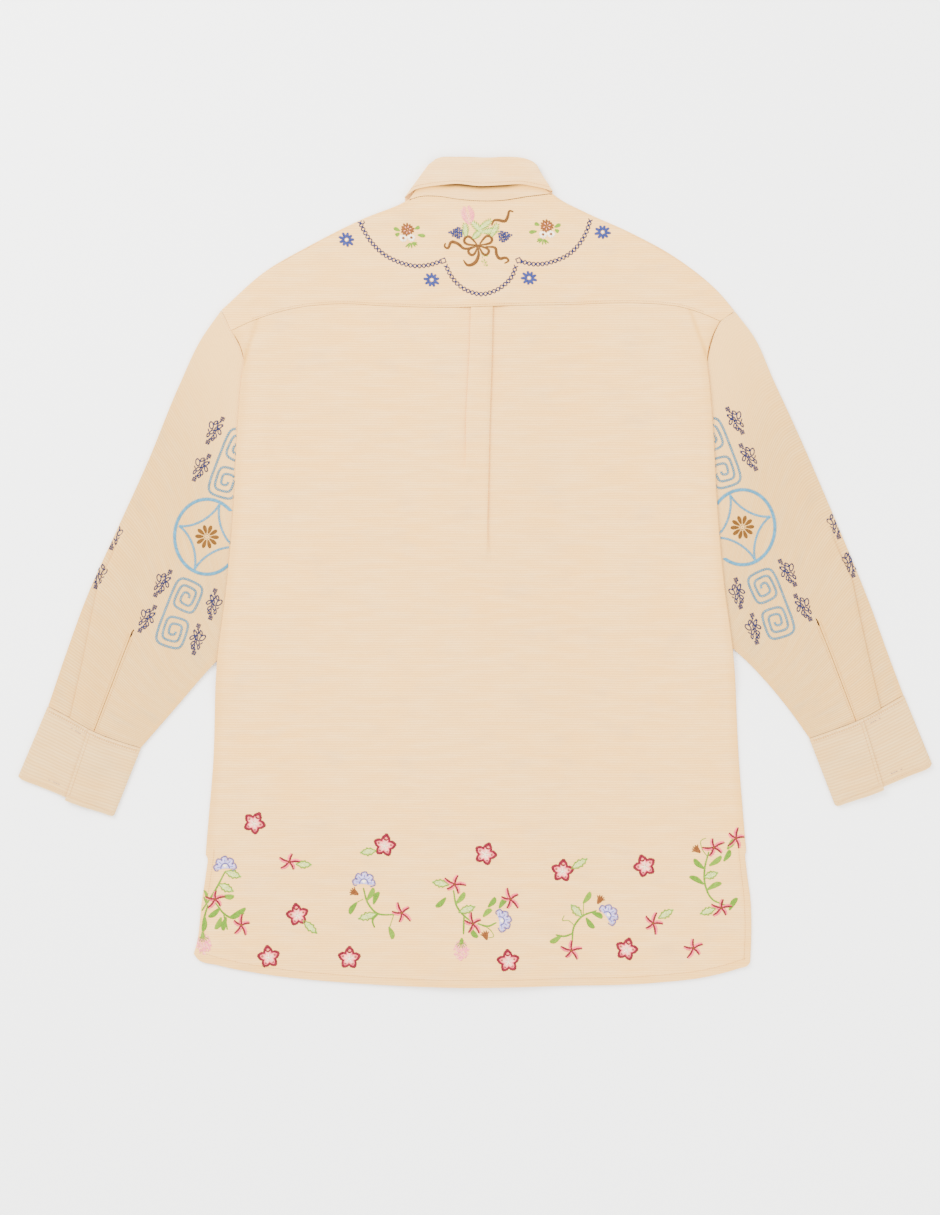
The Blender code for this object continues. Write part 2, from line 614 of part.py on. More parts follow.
def sleeve(name, edges, slit, tuck):
    """A sleeve laid flat: lower layer, outer turn, upper layer, inner turn."""
    grid = []
    for v in SLEEVE_DOWN:
        ends = patch(*edges, np.array([0.0, 1.0]), np.array([v, v]))
        width = np.linalg.norm(ends[1] - ends[0])
        run = ease((v - tuck[2]) / (1.0 - tuck[2]))
        at_tuck = tuck[0] + (tuck[1] - tuck[0]) * max(0.0, (v - tuck[2]) / (1.0 - tuck[2]))
        at_slit = slit[0] + (slit[1] - slit[0]) * max(0.0, (v - slit[2]) / (1.0 - slit[2]))
        depth = FOLD_LEAST + (TUCK_DEPTH - FOLD_LEAST) * float(run)
        angle = 180.0 * float(np.clip((v - tuck[2] + TUCK_OPENS) / TUCK_OPENS, 0.0, 1.0))
        dx, dz = fold(1, depth, angle)
        high = dz[-1]
        share = [0.0, 0.5 * at_tuck]
        up = [0.0, 0.0]
        for across, rise in zip(dx, dz):
            share.append(at_tuck + across / width)
            up.append(rise)
        past = at_tuck + (max(dx) + TUCK_ROOM) / width
        share.append(past)
        up.append(high)
        share.append(0.5 * (past + at_slit))
        up.append(0.55 * high)
        share.append(at_slit - 0.5 * SLIT_GAP / width)
        up.append(0.1 * high)
        share.append(at_slit + 0.5 * SLIT_GAP / width)
        up.append(0.0)
        for step in PAST_SLIT:
            share.append(at_slit + step * (1.0 - at_slit))
            up.append(0.0)
        u = np.array(list(SLEEVE_UNDER) + share)
        rise = np.array([0.0] * len(SLEEVE_UNDER) + [LAYER + h for h in up])
        row = lifted(patch(*edges, u, np.full(len(u), v)), sleeve_level, CLOTH)
        row[:, 2] += rise
        grid.append(row)
    slit_cell = len(SLEEVE_UNDER) + 8
    slit_row = SLEEVE_DOWN.index(slit[2])

    def slit_hole(row, column):
        return column == slit_cell and row >= slit_row

    return sheet(name, grid, CLOTH, CREAM, ring=True, gone=slit_hole)


CUFF_DOWN = (0.0, 0.35, 0.7, 0.92, 1.0)


def cuff(name, seam, end, at_slit):
    """A cuff laid flat, whose ends lap at the slit."""
    down = np.array(end[0]) - np.array(seam[0])
    down = down / np.linalg.norm(down)
    top = shifted(seam, *(down * (SEAM + 2.0 * FACET)))
    lap = at_slit + CUFF_LAP
    path = [(lap, 1), (lap - 0.5 * CUFF_LAP, 1), (at_slit, 1), (0.66 * at_slit, 1),
            (0.33 * at_slit, 1), (0.08, 1), (0.0, 1), (0.0, 0), (0.2, 0), (0.4, 0), (0.6, 0),
            (0.8, 0), (1.0, 0), (1.0, 1), (0.9, 1), (lap + 0.17, 1), (lap + 0.03, 2),
            (at_slit + 0.5 * CUFF_LAP, 2), (at_slit, 2)]
    u, v = np.meshgrid([share for share, _ in path], CUFF_DOWN)
    plan = patch(top, end, (top[0], end[0]), (top[-1], end[-1]), u, v)
    over = np.array([ease((1.0 - share) / (1.0 - at_slit)) if k > 12 else 0.0
                     for k, (share, _) in enumerate(path)])
    plan = plan + (CUFF_STEP * v * over)[..., None] * down
    level = np.array([layer * CUFF_LAYER for _, layer in path]) + CUFF_WALL / 2.0
    points = np.concatenate([plan, np.broadcast_to(level, u.shape)[..., None]], axis=-1)
    return sheet(name, points, CUFF_WALL, CREAM_BAND)


def stand_level_left(x, y):
    """Underside of the stand's left end, which lies on the right one."""
    return front_level(x, y) + COLLAR_LAYER * ease((x - CENTRE + LAP + STAND_RAMP) / STAND_RAMP)


ALONG_FRONT = (1.0, 0.82, 0.62, 0.42, 0.2, 0.0)
ALONG_BACK = (0.0, 0.06, 0.14, 0.26, 0.38, 0.5, 0.62, 0.74, 0.86, 0.94, 1.0)
BAND_ROWS = (0.0, 0.5, 1.0)


def collar_stand():
    """The stand: a flattened ring from one lapped end round the back to the other."""
    gap = SEAM + FACET
    back_top = (STAND_FRONT_TOP[0], *STAND_BACK_TOP, STAND_FRONT_TOP_RIGHT[0])
    back_top = spline(back_top, ALONG_BACK)
    back_low = spline(shifted(NECK_BACK, 0.0, gap + FACET), ALONG_BACK)
    back_low[0, 0] += gap
    back_low[-1, 0] -= gap + 2.0
    sides = []
    for side, top in ((-1, STAND_FRONT_TOP), (1, STAND_FRONT_TOP_RIGHT)):
        seam = neck_seam(side) + np.array([-side * gap, gap])
        corner = back_low[0] if side < 0 else back_low[-1]
        leg = [corner + share * (seam[0] - corner) for share in (0.0, 0.5)]
        low = np.concatenate([leg, seam])
        chord = np.linalg.norm(np.diff(low, axis=0), axis=1)
        along = np.concatenate([[0.0], np.cumsum(chord)]) / chord.sum()
        sides.append((low, spline(top, along)))
    runs = ((sides[0][0][::-1], sides[0][1][::-1], stand_level_left),
            (back_low, back_top, back_level),
            (sides[1][0], sides[1][1], front_level))
    grid = []
    for share in BAND_ROWS:
        row = [lifted((1.0 - share) * low + share * high, level, COLLAR_WALL)
               for low, high, level in runs]
        grid.append(np.concatenate(row))
    return sheet("collar_stand", grid, COLLAR_WALL, CREAM_BAND)


def collar_fall():
    """The fall: free edge, outer leg, roll at the top and a short return."""
    runs = ((FALL_EDGE_FRONT, ROLL_FRONT, ALONG_FRONT, None, stand_level_left),
            (FALL_EDGE_BACK, ROLL_BACK, ALONG_BACK, back_level, back_level),
            (FALL_EDGE_FRONT_RIGHT, ROLL_FRONT_RIGHT, ALONG_FRONT[::-1], None, front_level))
    rows = [[], [], [], [], []]
    for edge, roll, along, outer, inner in runs:
        free = spline(edge, along)
        high = spline(roll, along)
        way = free - high
        way = way / np.linalg.norm(way, axis=1)[:, None]
        if outer:
            way = np.tile([0.0, -1.0], (len(along), 1))
        for k, plan in enumerate((free, 0.5 * (free + high), high)):
            points = lifted(plan, outer or (lambda x, y: 0.0 * x), COLLAR_WALL)
            if outer:
                points[:, 2] += COLLAR_LAYER
            rows[k].append(points)
        rows[3].append(lifted(high, inner, COLLAR_WALL))
        rows[4].append(lifted(high + ROLL_RETURN * way, inner, COLLAR_WALL))
    grid = [np.concatenate(row) for row in rows]
    left_turn = len(ALONG_FRONT) - 1
    right_turn = left_turn + len(ALONG_BACK)

    def side_turn(row, column):
        return row >= 2 and min(abs(column - left_turn), abs(column - right_turn)) <= 1

    return sheet("collar_fall", grid, COLLAR_WALL, CREAM_BAND, gone=side_turn)


def button(number):
    """A plain round button, face down under the lap."""
    name = f"button_{number}"
    along = BUTTON_TOP - (number - 1) * BUTTON_STEP
    bpy.ops.mesh.primitive_cylinder_add(
        vertices=20, radius=BUTTON_ACROSS / 2.0 * MM, depth=BUTTON_THICK * MM,
        location=(CENTRE * MM, along * MM, BUTTON_THICK / 2.0 * MM))
    made = bpy.context.object
    made.name = name
    made.data.name = name
    for holder in made.users_collection:
        holder.objects.unlink(made)
    SHIRT.objects.link(made)
    rounded = made.modifiers.new("edge", "BEVEL")
    rounded.width = 0.3 * MM
    rounded.segments = 1
    made.data.materials.append(material(name, SHELL, 0.3))
    return made


for thing in list(bpy.data.objects):
    bpy.data.objects.remove(thing)
SHIRT = bpy.data.collections.new("long_sleeve_shirt")
bpy.context.scene.collection.children.link(SHIRT)

back_panel()
yoke()
front("front_left", -1, inner_front_level)
front("front_right", 1, front_level)
EDGES_LEFT = [SLEEVE_LEFT[key] for key in ("armhole", "cuff_seam", "outer", "inner")]
EDGES_RIGHT = [SLEEVE_RIGHT[key] for key in ("armhole", "cuff_seam", "outer", "inner")]
sleeve("sleeve_left", EDGES_LEFT, SLIT["left"], TUCK["left"])
sleeve("sleeve_right", EDGES_RIGHT, SLIT["right"], TUCK["right"])
cuff("cuff_left", SLEEVE_LEFT["cuff_seam"], CUFF_END_LEFT, SLIT["left"][1])
cuff("cuff_right", SLEEVE_RIGHT["cuff_seam"], CUFF_END_RIGHT, SLIT["right"][1])
collar_stand()
collar_fall()
for number in range(1, BUTTON_COUNT + 1):
    button(number)
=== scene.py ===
# A cream long-sleeve shirt with embroidered yoke, sleeves and hem, laid flat on
# its front. Plan sizes are in millimetres, +x to the right of the back, +y to
# the collar, and become metres in the meshes.
import math

import bmesh
import bpy
import numpy as np
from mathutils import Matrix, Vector
from mathutils.bvhtree import BVHTree


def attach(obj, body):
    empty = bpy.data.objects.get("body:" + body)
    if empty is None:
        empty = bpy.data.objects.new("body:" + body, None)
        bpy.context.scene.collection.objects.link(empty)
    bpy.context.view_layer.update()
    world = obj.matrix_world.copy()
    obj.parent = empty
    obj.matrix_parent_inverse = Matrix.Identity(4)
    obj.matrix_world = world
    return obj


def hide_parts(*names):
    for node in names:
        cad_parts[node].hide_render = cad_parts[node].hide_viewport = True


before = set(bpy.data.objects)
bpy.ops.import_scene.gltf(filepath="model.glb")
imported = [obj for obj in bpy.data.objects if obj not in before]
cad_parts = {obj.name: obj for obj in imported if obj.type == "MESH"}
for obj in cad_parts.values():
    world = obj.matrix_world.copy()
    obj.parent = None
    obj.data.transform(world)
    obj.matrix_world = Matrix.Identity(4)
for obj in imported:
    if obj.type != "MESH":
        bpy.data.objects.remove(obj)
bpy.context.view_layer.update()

mm = 0.001
scene = bpy.context.scene

# camera
cameraSetup = {
    "lens": 85.0,
    "sensor": 36.0,
    "aim": (-5.4, -37.8),   # the middle of the view, in mm
    "height": 3098.0,
}
cameraData = bpy.data.cameras.new("overhead")
cameraData.lens = cameraSetup["lens"]
cameraData.sensor_width = cameraSetup["sensor"]
camera = bpy.data.objects.new("overhead", cameraData)
camera.location = (cameraSetup["aim"][0] * mm, cameraSetup["aim"][1] * mm,
                   cameraSetup["height"] * mm)
scene.collection.objects.link(camera)
scene.camera = camera
print("camera", cameraSetup["height"], "mm above the floor")

# sizes
cloth = {"wall": 1.0, "air": 0.4, "collarWall": 1.1, "cuffWall": 1.6, "seam": 0.3, "facet": 0.4}
layer = cloth["wall"] + cloth["air"]
collarLayer = cloth["collarWall"] + cloth["air"]
cuffLayer = cloth["cuffWall"] + cloth["air"]

lap = {"centre": 6.0, "half": 15.0, "buttons": 2.4, "rise": 1.8, "ramp": 100.0, "innerRamp": 40.0,
       "standRamp": 30.0}
ramps = {"sleeve": 50.0, "sleeveMargin": 20.0, "collar": 70.0, "edge": 45.0, "side": 40.0,
         "ends": 50.0, "strip": 26.0, "stripFade": 60.0}
sideEdge = {"lipTop": 2.0, "lip": 12.0, "start": 262.0, "full": 200.0, "underarm": -150.0,
            "shoulder": 330.0}
frontCut = {"inset": 3.5, "from": -405.0, "to": 210.0, "hem": -441.0, "hemRise": 6.0,
            "corner": 15.0, "apart": 10.0}
underSpan = (-95.0, 225.0)   # along the body, where the sleeve lies under the back
stripTop = 350.0             # the pleat's layers under the yoke have faded out here
yokeLeg = (16.5, -34.0)

# box pleat: along, left edge, right edge
pleatTable = (
    (288, -3.5, 18.5),
    (240, -5, 17.6),
    (200, -7.2, 16.4),
    (165, -9, 15.2),
    (120, -9.6, 14.2),
    (60, -9.8, 13),
)
pleat = {"leftEnd": (166.0, 94.0), "rightEnd": (82.0, 10.0), "under": 9.0,
         "least": 2.2, "open": 5.0}

bodyLeft = (
    (-262.8, 261), (-254, 243.5), (-249.4, 224), (-251.6, 207.9),
    (-256.7, 146.3), (-259.8, 83.9), (-268.1, -9.1), (-278.4, -91.7),
    (-283, -202.5), (-287.5, -256), (-289.9, -284), (-290.5, -292),
    (-290.6, -296), (-288.7, -298.8), (-288.7, -303), (-289.9, -312),
    (-291.7, -325), (-294.6, -343.8), (-299.2, -387.8), (-303.6, -411),
)
bodyRight = (
    (264.4, 271.4), (256, 252), (250.3, 226.3), (252.5, 205.7),
    (257.3, 146.3), (260.6, 83.9), (268.2, -3), (278.6, -83.7),
    (285.1, -199.3), (289.4, -255), (291.9, -284), (292.6, -292),
    (292.7, -296), (291.7, -298.8), (291.9, -303), (292.9, -312),
    (294.3, -325), (296.7, -344), (298.4, -390), (297.2, -419),
)
yokeSeam = (
    (-262.8, 261), (-239.4, 271.8), (-203.4, 283.5), (-145.8, 290.2),
    (-95.4, 287.8), (-3.7, 286.2), (19.8, 287.1), (102.6, 289.4),
    (178.2, 290.8), (223.3, 286.4), (246.6, 279), (264.4, 271.4),
)
hemLine = (
    (-303.6, -411), (-299.5, -417), (-277.2, -423.9), (-236, -432.1),
    (-132.8, -443.1), (-23.8, -447.7), (89.6, -446.2), (192.2, -443),
    (251.6, -436), (284, -427.5), (295, -423.5), (297.2, -419),
)
shoulderLeft = (
    (-273.2, 283), (-225, 325.4), (-178.2, 352.4), (-119.6, 381.7),
    (-76.8, 398.9), (-70.5, 402.4),
)
shoulderRight = (
    (279.7, 281.9), (266.1, 298.5), (216.5, 339.4), (167, 366.7),
    (117.4, 389), (88, 404.6), (83, 408.6),
)
neckBack = (
    (-70.5, 402.4), (-58, 405.8), (-42.2, 406), (-17.4, 402.4),
    (7.3, 400.6), (32.2, 401.4), (57, 405.4), (83, 408.6),
)
sleeveEdges = {
    "left": {
        "outer": ((-273.6, 282.4), (-295.2, 251.6), (-318.6, 202.5), (-353.8, 117),
                  (-384.8, 48.8), (-419.9, -29.7), (-441.4, -88.8), (-460.2, -144.3)),
        "inner": ((-206, -4), (-242, -49), (-278.4, -94.2), (-297.6, -115.7),
                  (-316, -137.2), (-344, -169.5), (-361, -189)),
        "armhole": ((-273, 282.4), (-261.8, 260.4), (-252.6, 242.7), (-247.8, 223.5),
                    (-244, 196), (-238, 150), (-234, 100), (-230, 55),
                    (-221, 22), (-206, -4)),
        "cuffSeam": ((-460.2, -144.3), (-436, -157), (-412, -171),
                     (-386, -181.2), (-361, -189)),
        "cuffEnd": ((-492.2, -219.9), (-491.5, -221.9), (-489, -223.4), (-473.6, -229.4),
                    (-443.1, -241.9), (-416.2, -253.2), (-400, -259.8), (-394.5, -262),
                    (-391.4, -262.8), (-389.9, -261.2)),
        "slit": (0.42, 0.512, 0.695), "tuck": (0.045, 0.25, 0.69),
        "cuffSlit": (0.458, 0.504),
    },
    "right": {
        "outer": ((280.1, 281.3), (300.8, 253.9), (321.6, 207.9), (345.4, 156.3),
                  (386.6, 61.2), (428, -40.1), (445, -87), (461.9, -132.2)),
        "inner": ((206, 0), (242, -42), (278.5, -81.5), (297, -99),
                  (325.6, -130.6), (345, -155.5), (361.2, -178.5)),
        "armhole": ((279.5, 281.3), (264, 270.4), (255.5, 250.6), (249.8, 225.5),
                    (246, 197), (239, 150), (235, 100), (231, 56),
                    (221, 24), (206, 0)),
        "cuffSeam": ((461.9, -132.2), (438, -146), (414, -159),
                     (386, -169.8), (361.2, -178.5)),
        "cuffEnd": ((492.4, -206.5), (491.5, -209.5), (489, -211.4), (474.4, -217.3),
                    (443, -230.5), (416.6, -241.8), (400, -248.9), (394, -251.4),
                    (390.8, -252.1), (389, -250.3)),
        "slit": (0.432, 0.522, 0.685), "tuck": (0.055, 0.262, 0.70),
        "cuffSlit": (0.456, 0.515),
    },
}
sleeveFold = {"slitGap": 0.9, "tuckDepth": 9.0, "tuckOpens": 0.16, "grainLong": 470.0}

rollBack = (
    (-49, 440.6), (-42.2, 445.2), (-17.4, 447.4), (15, 446.6),
    (37.2, 447.4), (54.5, 445.6), (65.7, 439.8), (70, 431.6),
)
fallEdgeBack = (
    (-75.6, 404.3), (-71.4, 407.9), (-65.1, 412.4), (-54.6, 415.2), (-39.7, 417.1),
    (-20, 418.5), (5, 416.1), (30, 417.2), (50, 418.2), (64.4, 415.9),
    (74.3, 413.8), (81.8, 411.4), (83.4, 411.1),
)
rollFront = ((-49, 440.6), (-30, 395), (-8, 365), (3, 352))
fallEdgeFront = ((-75.6, 404.3), (-72, 360), (-60, 328), (-42, 300))
rollFrontRight = ((70, 431.6), (42, 392), (20, 365), (9, 352))
fallEdgeFrontRight = ((83.4, 411.1), (83, 364), (72, 328), (54, 300))
neckFront = ((-33, 341), (-8, 322.5), (21, 318))
standFrontTop = ((-55, 424), (-42, 388), (-20, 357), (0, 341), (20, 339))
standFrontTopRight = ((71, 416), (54, 384), (32, 357), (12, 341),
                      (-8, 339))
standBackTop = (
    (-42.2, 434.2), (-17.4, 436.4), (15, 435.6), (37.2, 436.4), (52, 433), (62, 426.5),
)
rollReturn = 6.0       # what the fall runs on past its fold, under the stand
fallStandsOff = 2.2    # how far the fall's edge stands off the stand at the middle


# plan shapes
def ease(t):
    t = np.clip(t, 0.0, 1.0)
    return t * t * (3.0 - 2.0 * t)


# points on a smooth curve through the given ones, t by chord length
def spline(points, t):
    p = np.array(points, float)
    chord = np.linalg.norm(np.diff(p, axis=0), axis=1)
    knots = np.concatenate([[0.0], np.cumsum(chord)]) / chord.sum()
    slope = np.gradient(p, knots, axis=0)
    t = np.atleast_1d(np.asarray(t, float))
    k = np.clip(np.searchsorted(knots, t, side="right") - 1, 0, len(p) - 2)
    step = (knots[k + 1] - knots[k])[:, None]
    s = ((t - knots[k]) / step[:, 0])[:, None]
    start = (2 * s**3 - 3 * s**2 + 1) * p[k] + (s**3 - 2 * s**2 + s) * step * slope[k]
    end = (3 * s**2 - 2 * s**3) * p[k + 1] + (s**3 - s**2) * step * slope[k + 1]
    return start + end


def heightAt(points, x):
    curve = spline(points, np.linspace(0.0, 1.0, 400))
    return np.interp(x, curve[:, 0], curve[:, 1])


# a sheet between four edges: u runs across, v from first to last
def patch(first, last, left, right, u, v):
    u = np.asarray(u, float)
    v = np.asarray(v, float)
    a = spline(first, u.ravel()).reshape(u.shape + (2,))
    c = spline(last, u.ravel()).reshape(u.shape + (2,))
    o = spline(left, v.ravel()).reshape(v.shape + (2,))
    i = spline(right, v.ravel()).reshape(v.shape + (2,))
    u = u[..., None]
    v = v[..., None]
    corners = ((1 - u) * (1 - v) * np.array(first[0]) + u * (1 - v) * np.array(first[-1])
               + (1 - u) * v * np.array(last[0]) + u * v * np.array(last[-1]))
    return (1 - v) * a + v * c + (1 - u) * o + u * i - corners


# distance to a closed outline, positive inside it
def reach(outline, x, y):
    x = np.asarray(x, float)
    y = np.asarray(y, float)
    best = np.full(x.shape, 1e9)
    inside = np.zeros(x.shape, bool)
    for (ax, ay), (bx, by) in zip(outline, np.roll(outline, -1, axis=0)):
        ex = bx - ax
        ey = by - ay
        t = np.clip(((x - ax) * ex + (y - ay) * ey) / (ex * ex + ey * ey + 1e-12), 0, 1)
        best = np.minimum(best, np.hypot(x - ax - t * ex, y - ay - t * ey))
        crosses = (ay > y) != (by > y)
        with np.errstate(divide="ignore", invalid="ignore"):
            inside ^= crosses & (x < ax + (y - ay) * ex / (ey if ey else 1e-12))
    return np.where(inside, best, -best)


def near(outline, x, y, ramp, margin=0.0):
    return ease(1.0 + (margin + reach(outline, x, y)) / ramp)


def mirrored(points):
    return tuple((2.0 * lap["centre"] - x, y) for x, y in points)


def shifted(points, dx, dy):
    return tuple((x + dx, y + dy) for x, y in points)


def frontEdges(side):
    body = bodyLeft if side < 0 else bodyRight
    shoulder = shoulderLeft if side < 0 else shoulderRight
    neck = neckFront if side < 0 else mirrored(neckFront)
    seam = shifted(shoulder, -side * yokeLeg[0],
                   yokeLeg[1] - cloth["seam"] - 3.0 * cloth["facet"])
    top = [*seam, *neck]
    inset = sideEdge["lip"] + frontCut["inset"]
    edge = [(x - side * inset, y) for x, y in body if frontCut["from"] < y < frontCut["to"]]
    armhole = sleeveEdges["left" if side < 0 else "right"]["armhole"]
    outer = [top[0], (armhole[3][0] - side, armhole[3][1]), *edge]
    centreX = lap["centre"] - side * lap["half"]
    centre = [top[-1]] + [(centreX, y) for y in (200.0, 0.0, -200.0, frontCut["hem"])]
    low = outer[-1]
    inner = [(x, y + frontCut["hemRise"]) for x, y in hemLine[::-side]
             if abs(x) < abs(low[0]) - frontCut["corner"]]
    hem = [low] + [p for p in inner if side * (p[0] - centreX) > frontCut["apart"]] + [centre[-1]]
    return top, hem, outer, centre


def frontOutline(side):
    top, hem, outer, centre = frontEdges(side)
    return np.array(list(outer) + list(hem[1:]) + list(centre[::-1]) + list(top[::-1]))


def underBody(edges, body):
    low, high = underSpan
    hidden = [p for p in edges["armhole"] if p[1] < high]
    wayOut = [p for p in edges["inner"] if p[1] > low]
    return np.array(hidden + wayOut[1:] + [p for p in body if low < p[1] < high][::-1])


def legOutline(shoulder, side):
    low = shifted(shoulder, -side * yokeLeg[0], yokeLeg[1])
    return np.array(list(shoulder) + list(low[::-1]))


collarFront = np.array(
    list(fallEdgeFront) + list(rollFront[::-1][:1]) + list(rollFrontRight[::-1][:1])
    + list(fallEdgeFrontRight[::-1]) + [(76.0, 440.0), (20.0, 449.0), (-52.0, 446.0)])
underLeft = underBody(sleeveEdges["left"], bodyLeft)
underRight = underBody(sleeveEdges["right"], bodyRight)
bodyOutline = np.array(list(bodyLeft) + list(hemLine[1:-1]) + list(bodyRight[::-1])
                       + [(240.0, 340.0), (0.0, 430.0), (-240.0, 340.0)])
onFloor = (frontOutline(-1), frontOutline(1), legOutline(shoulderLeft, -1),
           legOutline(shoulderRight, 1))


# heights of the layers
def strip(x, half, ramp):
    return ease((half + ramp - np.abs(x - lap["centre"])) / ramp)


def pastLap(x, ramp):
    return ease((x - lap["centre"] + lap["half"] + ramp) / ramp)


def frontLevel(x, y):
    overButtons = lap["buttons"] * strip(x, lap["half"], lap["ramp"])
    overCollar = (collarLayer + 0.1) * near(collarFront, x, y, ramps["collar"])
    return np.maximum(overButtons, overCollar)


def innerFrontLevel(x, y):
    return frontLevel(x, y) + layer * pastLap(x, lap["innerRamp"])


def backLevel(x, y):
    sleeves = np.maximum(near(underLeft, x, y, ramps["sleeve"], ramps["sleeveMargin"]),
                         near(underRight, x, y, ramps["sleeve"], ramps["sleeveMargin"]))
    edge = ease((sideEdge["lip"] + ramps["side"] - reach(bodyOutline, x, y)) / ramps["side"])
    upper = (ease((y - sideEdge["underarm"]) / ramps["ends"])
             * ease((sideEdge["shoulder"] - y) / ramps["ends"]))
    over = lap["rise"] * strip(x, lap["half"], lap["ramp"])
    return frontLevel(x, y) + over + layer + 2.0 * layer * sleeves + layer * edge * upper


def pleatAt(y):
    table = np.array(pleatTable)[::-1]
    return [np.interp(y, table[:, 0], table[:, k]) for k in (1, 2)]


def yokeLevel(x, y):
    edgeLeft, edgeRight = pleatAt(y)
    middle = 0.5 * (edgeLeft + edgeRight)
    half = 0.5 * (edgeRight - edgeLeft)
    over = (ease((half + ramps["strip"] - np.abs(x - middle)) / ramps["strip"])
            * ease((stripTop - y) / ramps["stripFade"]))
    return backLevel(x, y) + 2.0 * layer * over


def sleeveLevel(x, y):
    over = [near(outline, x, y, ramps["edge"]) for outline in onFloor]
    return layer * np.max(over, axis=0)


def floorLevel(x, y):
    return 0.0 * x


def standLevelLeft(x, y):
    return frontLevel(x, y) + collarLayer * pastLap(x, lap["standRamp"])


# an S-shaped fold with round turns; angle 180 is folded back, 0 is open and flat
def fold(edgeSide, depth, angle):
    turn = math.radians(angle)
    corner = (layer - 0.4 * math.sin(turn)) / 2.414
    middle = depth
    if angle < 180.0:
        middle = 1.6 + (pleat["open"] - 1.6) * max(0.0, 1.0 - angle / 90.0)
        middle += (depth - 1.6) * max(0.0, angle / 90.0 - 1.0)
    turns = [(corner, turn * share) for share in (0.25, 0.5, 0.75)]
    runs = turns + [(middle, turn)] + turns[::-1]
    dx = np.concatenate([[0.0], np.cumsum([r * math.cos(t) for r, t in runs])])
    dz = np.concatenate([[0.0], np.cumsum([r * math.sin(t) for r, t in runs])])
    dx = dx - dx[4]
    if edgeSide < 0:
        return -dx[::-1], dz[::-1]
    return dx, dz


def pleatFold(y, side, ends):
    start, gone = ends
    share = ease((y - start) / (pleatTable[0][0] - start))
    depth = pleat["least"] + (pleat["under"] - pleat["least"]) * share
    angle = 180.0 * np.clip((y - gone) / (start - gone), 0.0, 1.0)
    return fold(side, float(depth), float(angle))


# soft creases: from, to, half width, height; a long one is thinner at its ends
def creaseHeight(creases, x, y):
    total = np.zeros(np.shape(x))
    for ax, ay, bx, by, width, height in creases:
        ex, ey = bx - ax, by - ay
        length = math.hypot(ex, ey)
        along = ((x - ax) * ex + (y - ay) * ey) / (length * length)
        wander = 0.12 * width * np.sin(along * length / 17.0 + ax)
        off = ((x - ax) * ey - (y - ay) * ex) / length + wander
        ends = ease(along / 0.3) * ease((1.0 - along) / 0.3)
        total = total + height * ends * np.exp(-(off / width) ** 2)
    return total


# cloth materials
def linear(hexColour):
    parts = [int(hexColour[k:k + 2], 16) / 255.0 for k in (1, 3, 5)]
    bent = [c / 12.92 if c <= 0.04045 else ((c + 0.055) / 1.055) ** 2.4 for c in parts]
    return (*bent, 1.0)


def addNode(tree, kind, settings=None, **inputs):
    node = tree.nodes.new(kind)
    for name, value in (settings or {}).items():
        setattr(node, name, value)
    for name, value in inputs.items():
        byNumber = name[0] == "i" and name[1:].isdigit()
        socket = node.inputs[int(name[1:]) if byNumber else name]
        if isinstance(value, bpy.types.NodeSocket):
            tree.links.new(value, socket)
        else:
            socket.default_value = value
    return node


# a new material with its shader's fixed values set
def startMaterial(name, values):
    made = bpy.data.materials.new(name)
    made.use_nodes = True
    shader = made.node_tree.nodes["Principled BSDF"]
    for socket, value in values.items():
        shader.inputs[socket].default_value = value
    return made, made.node_tree, shader


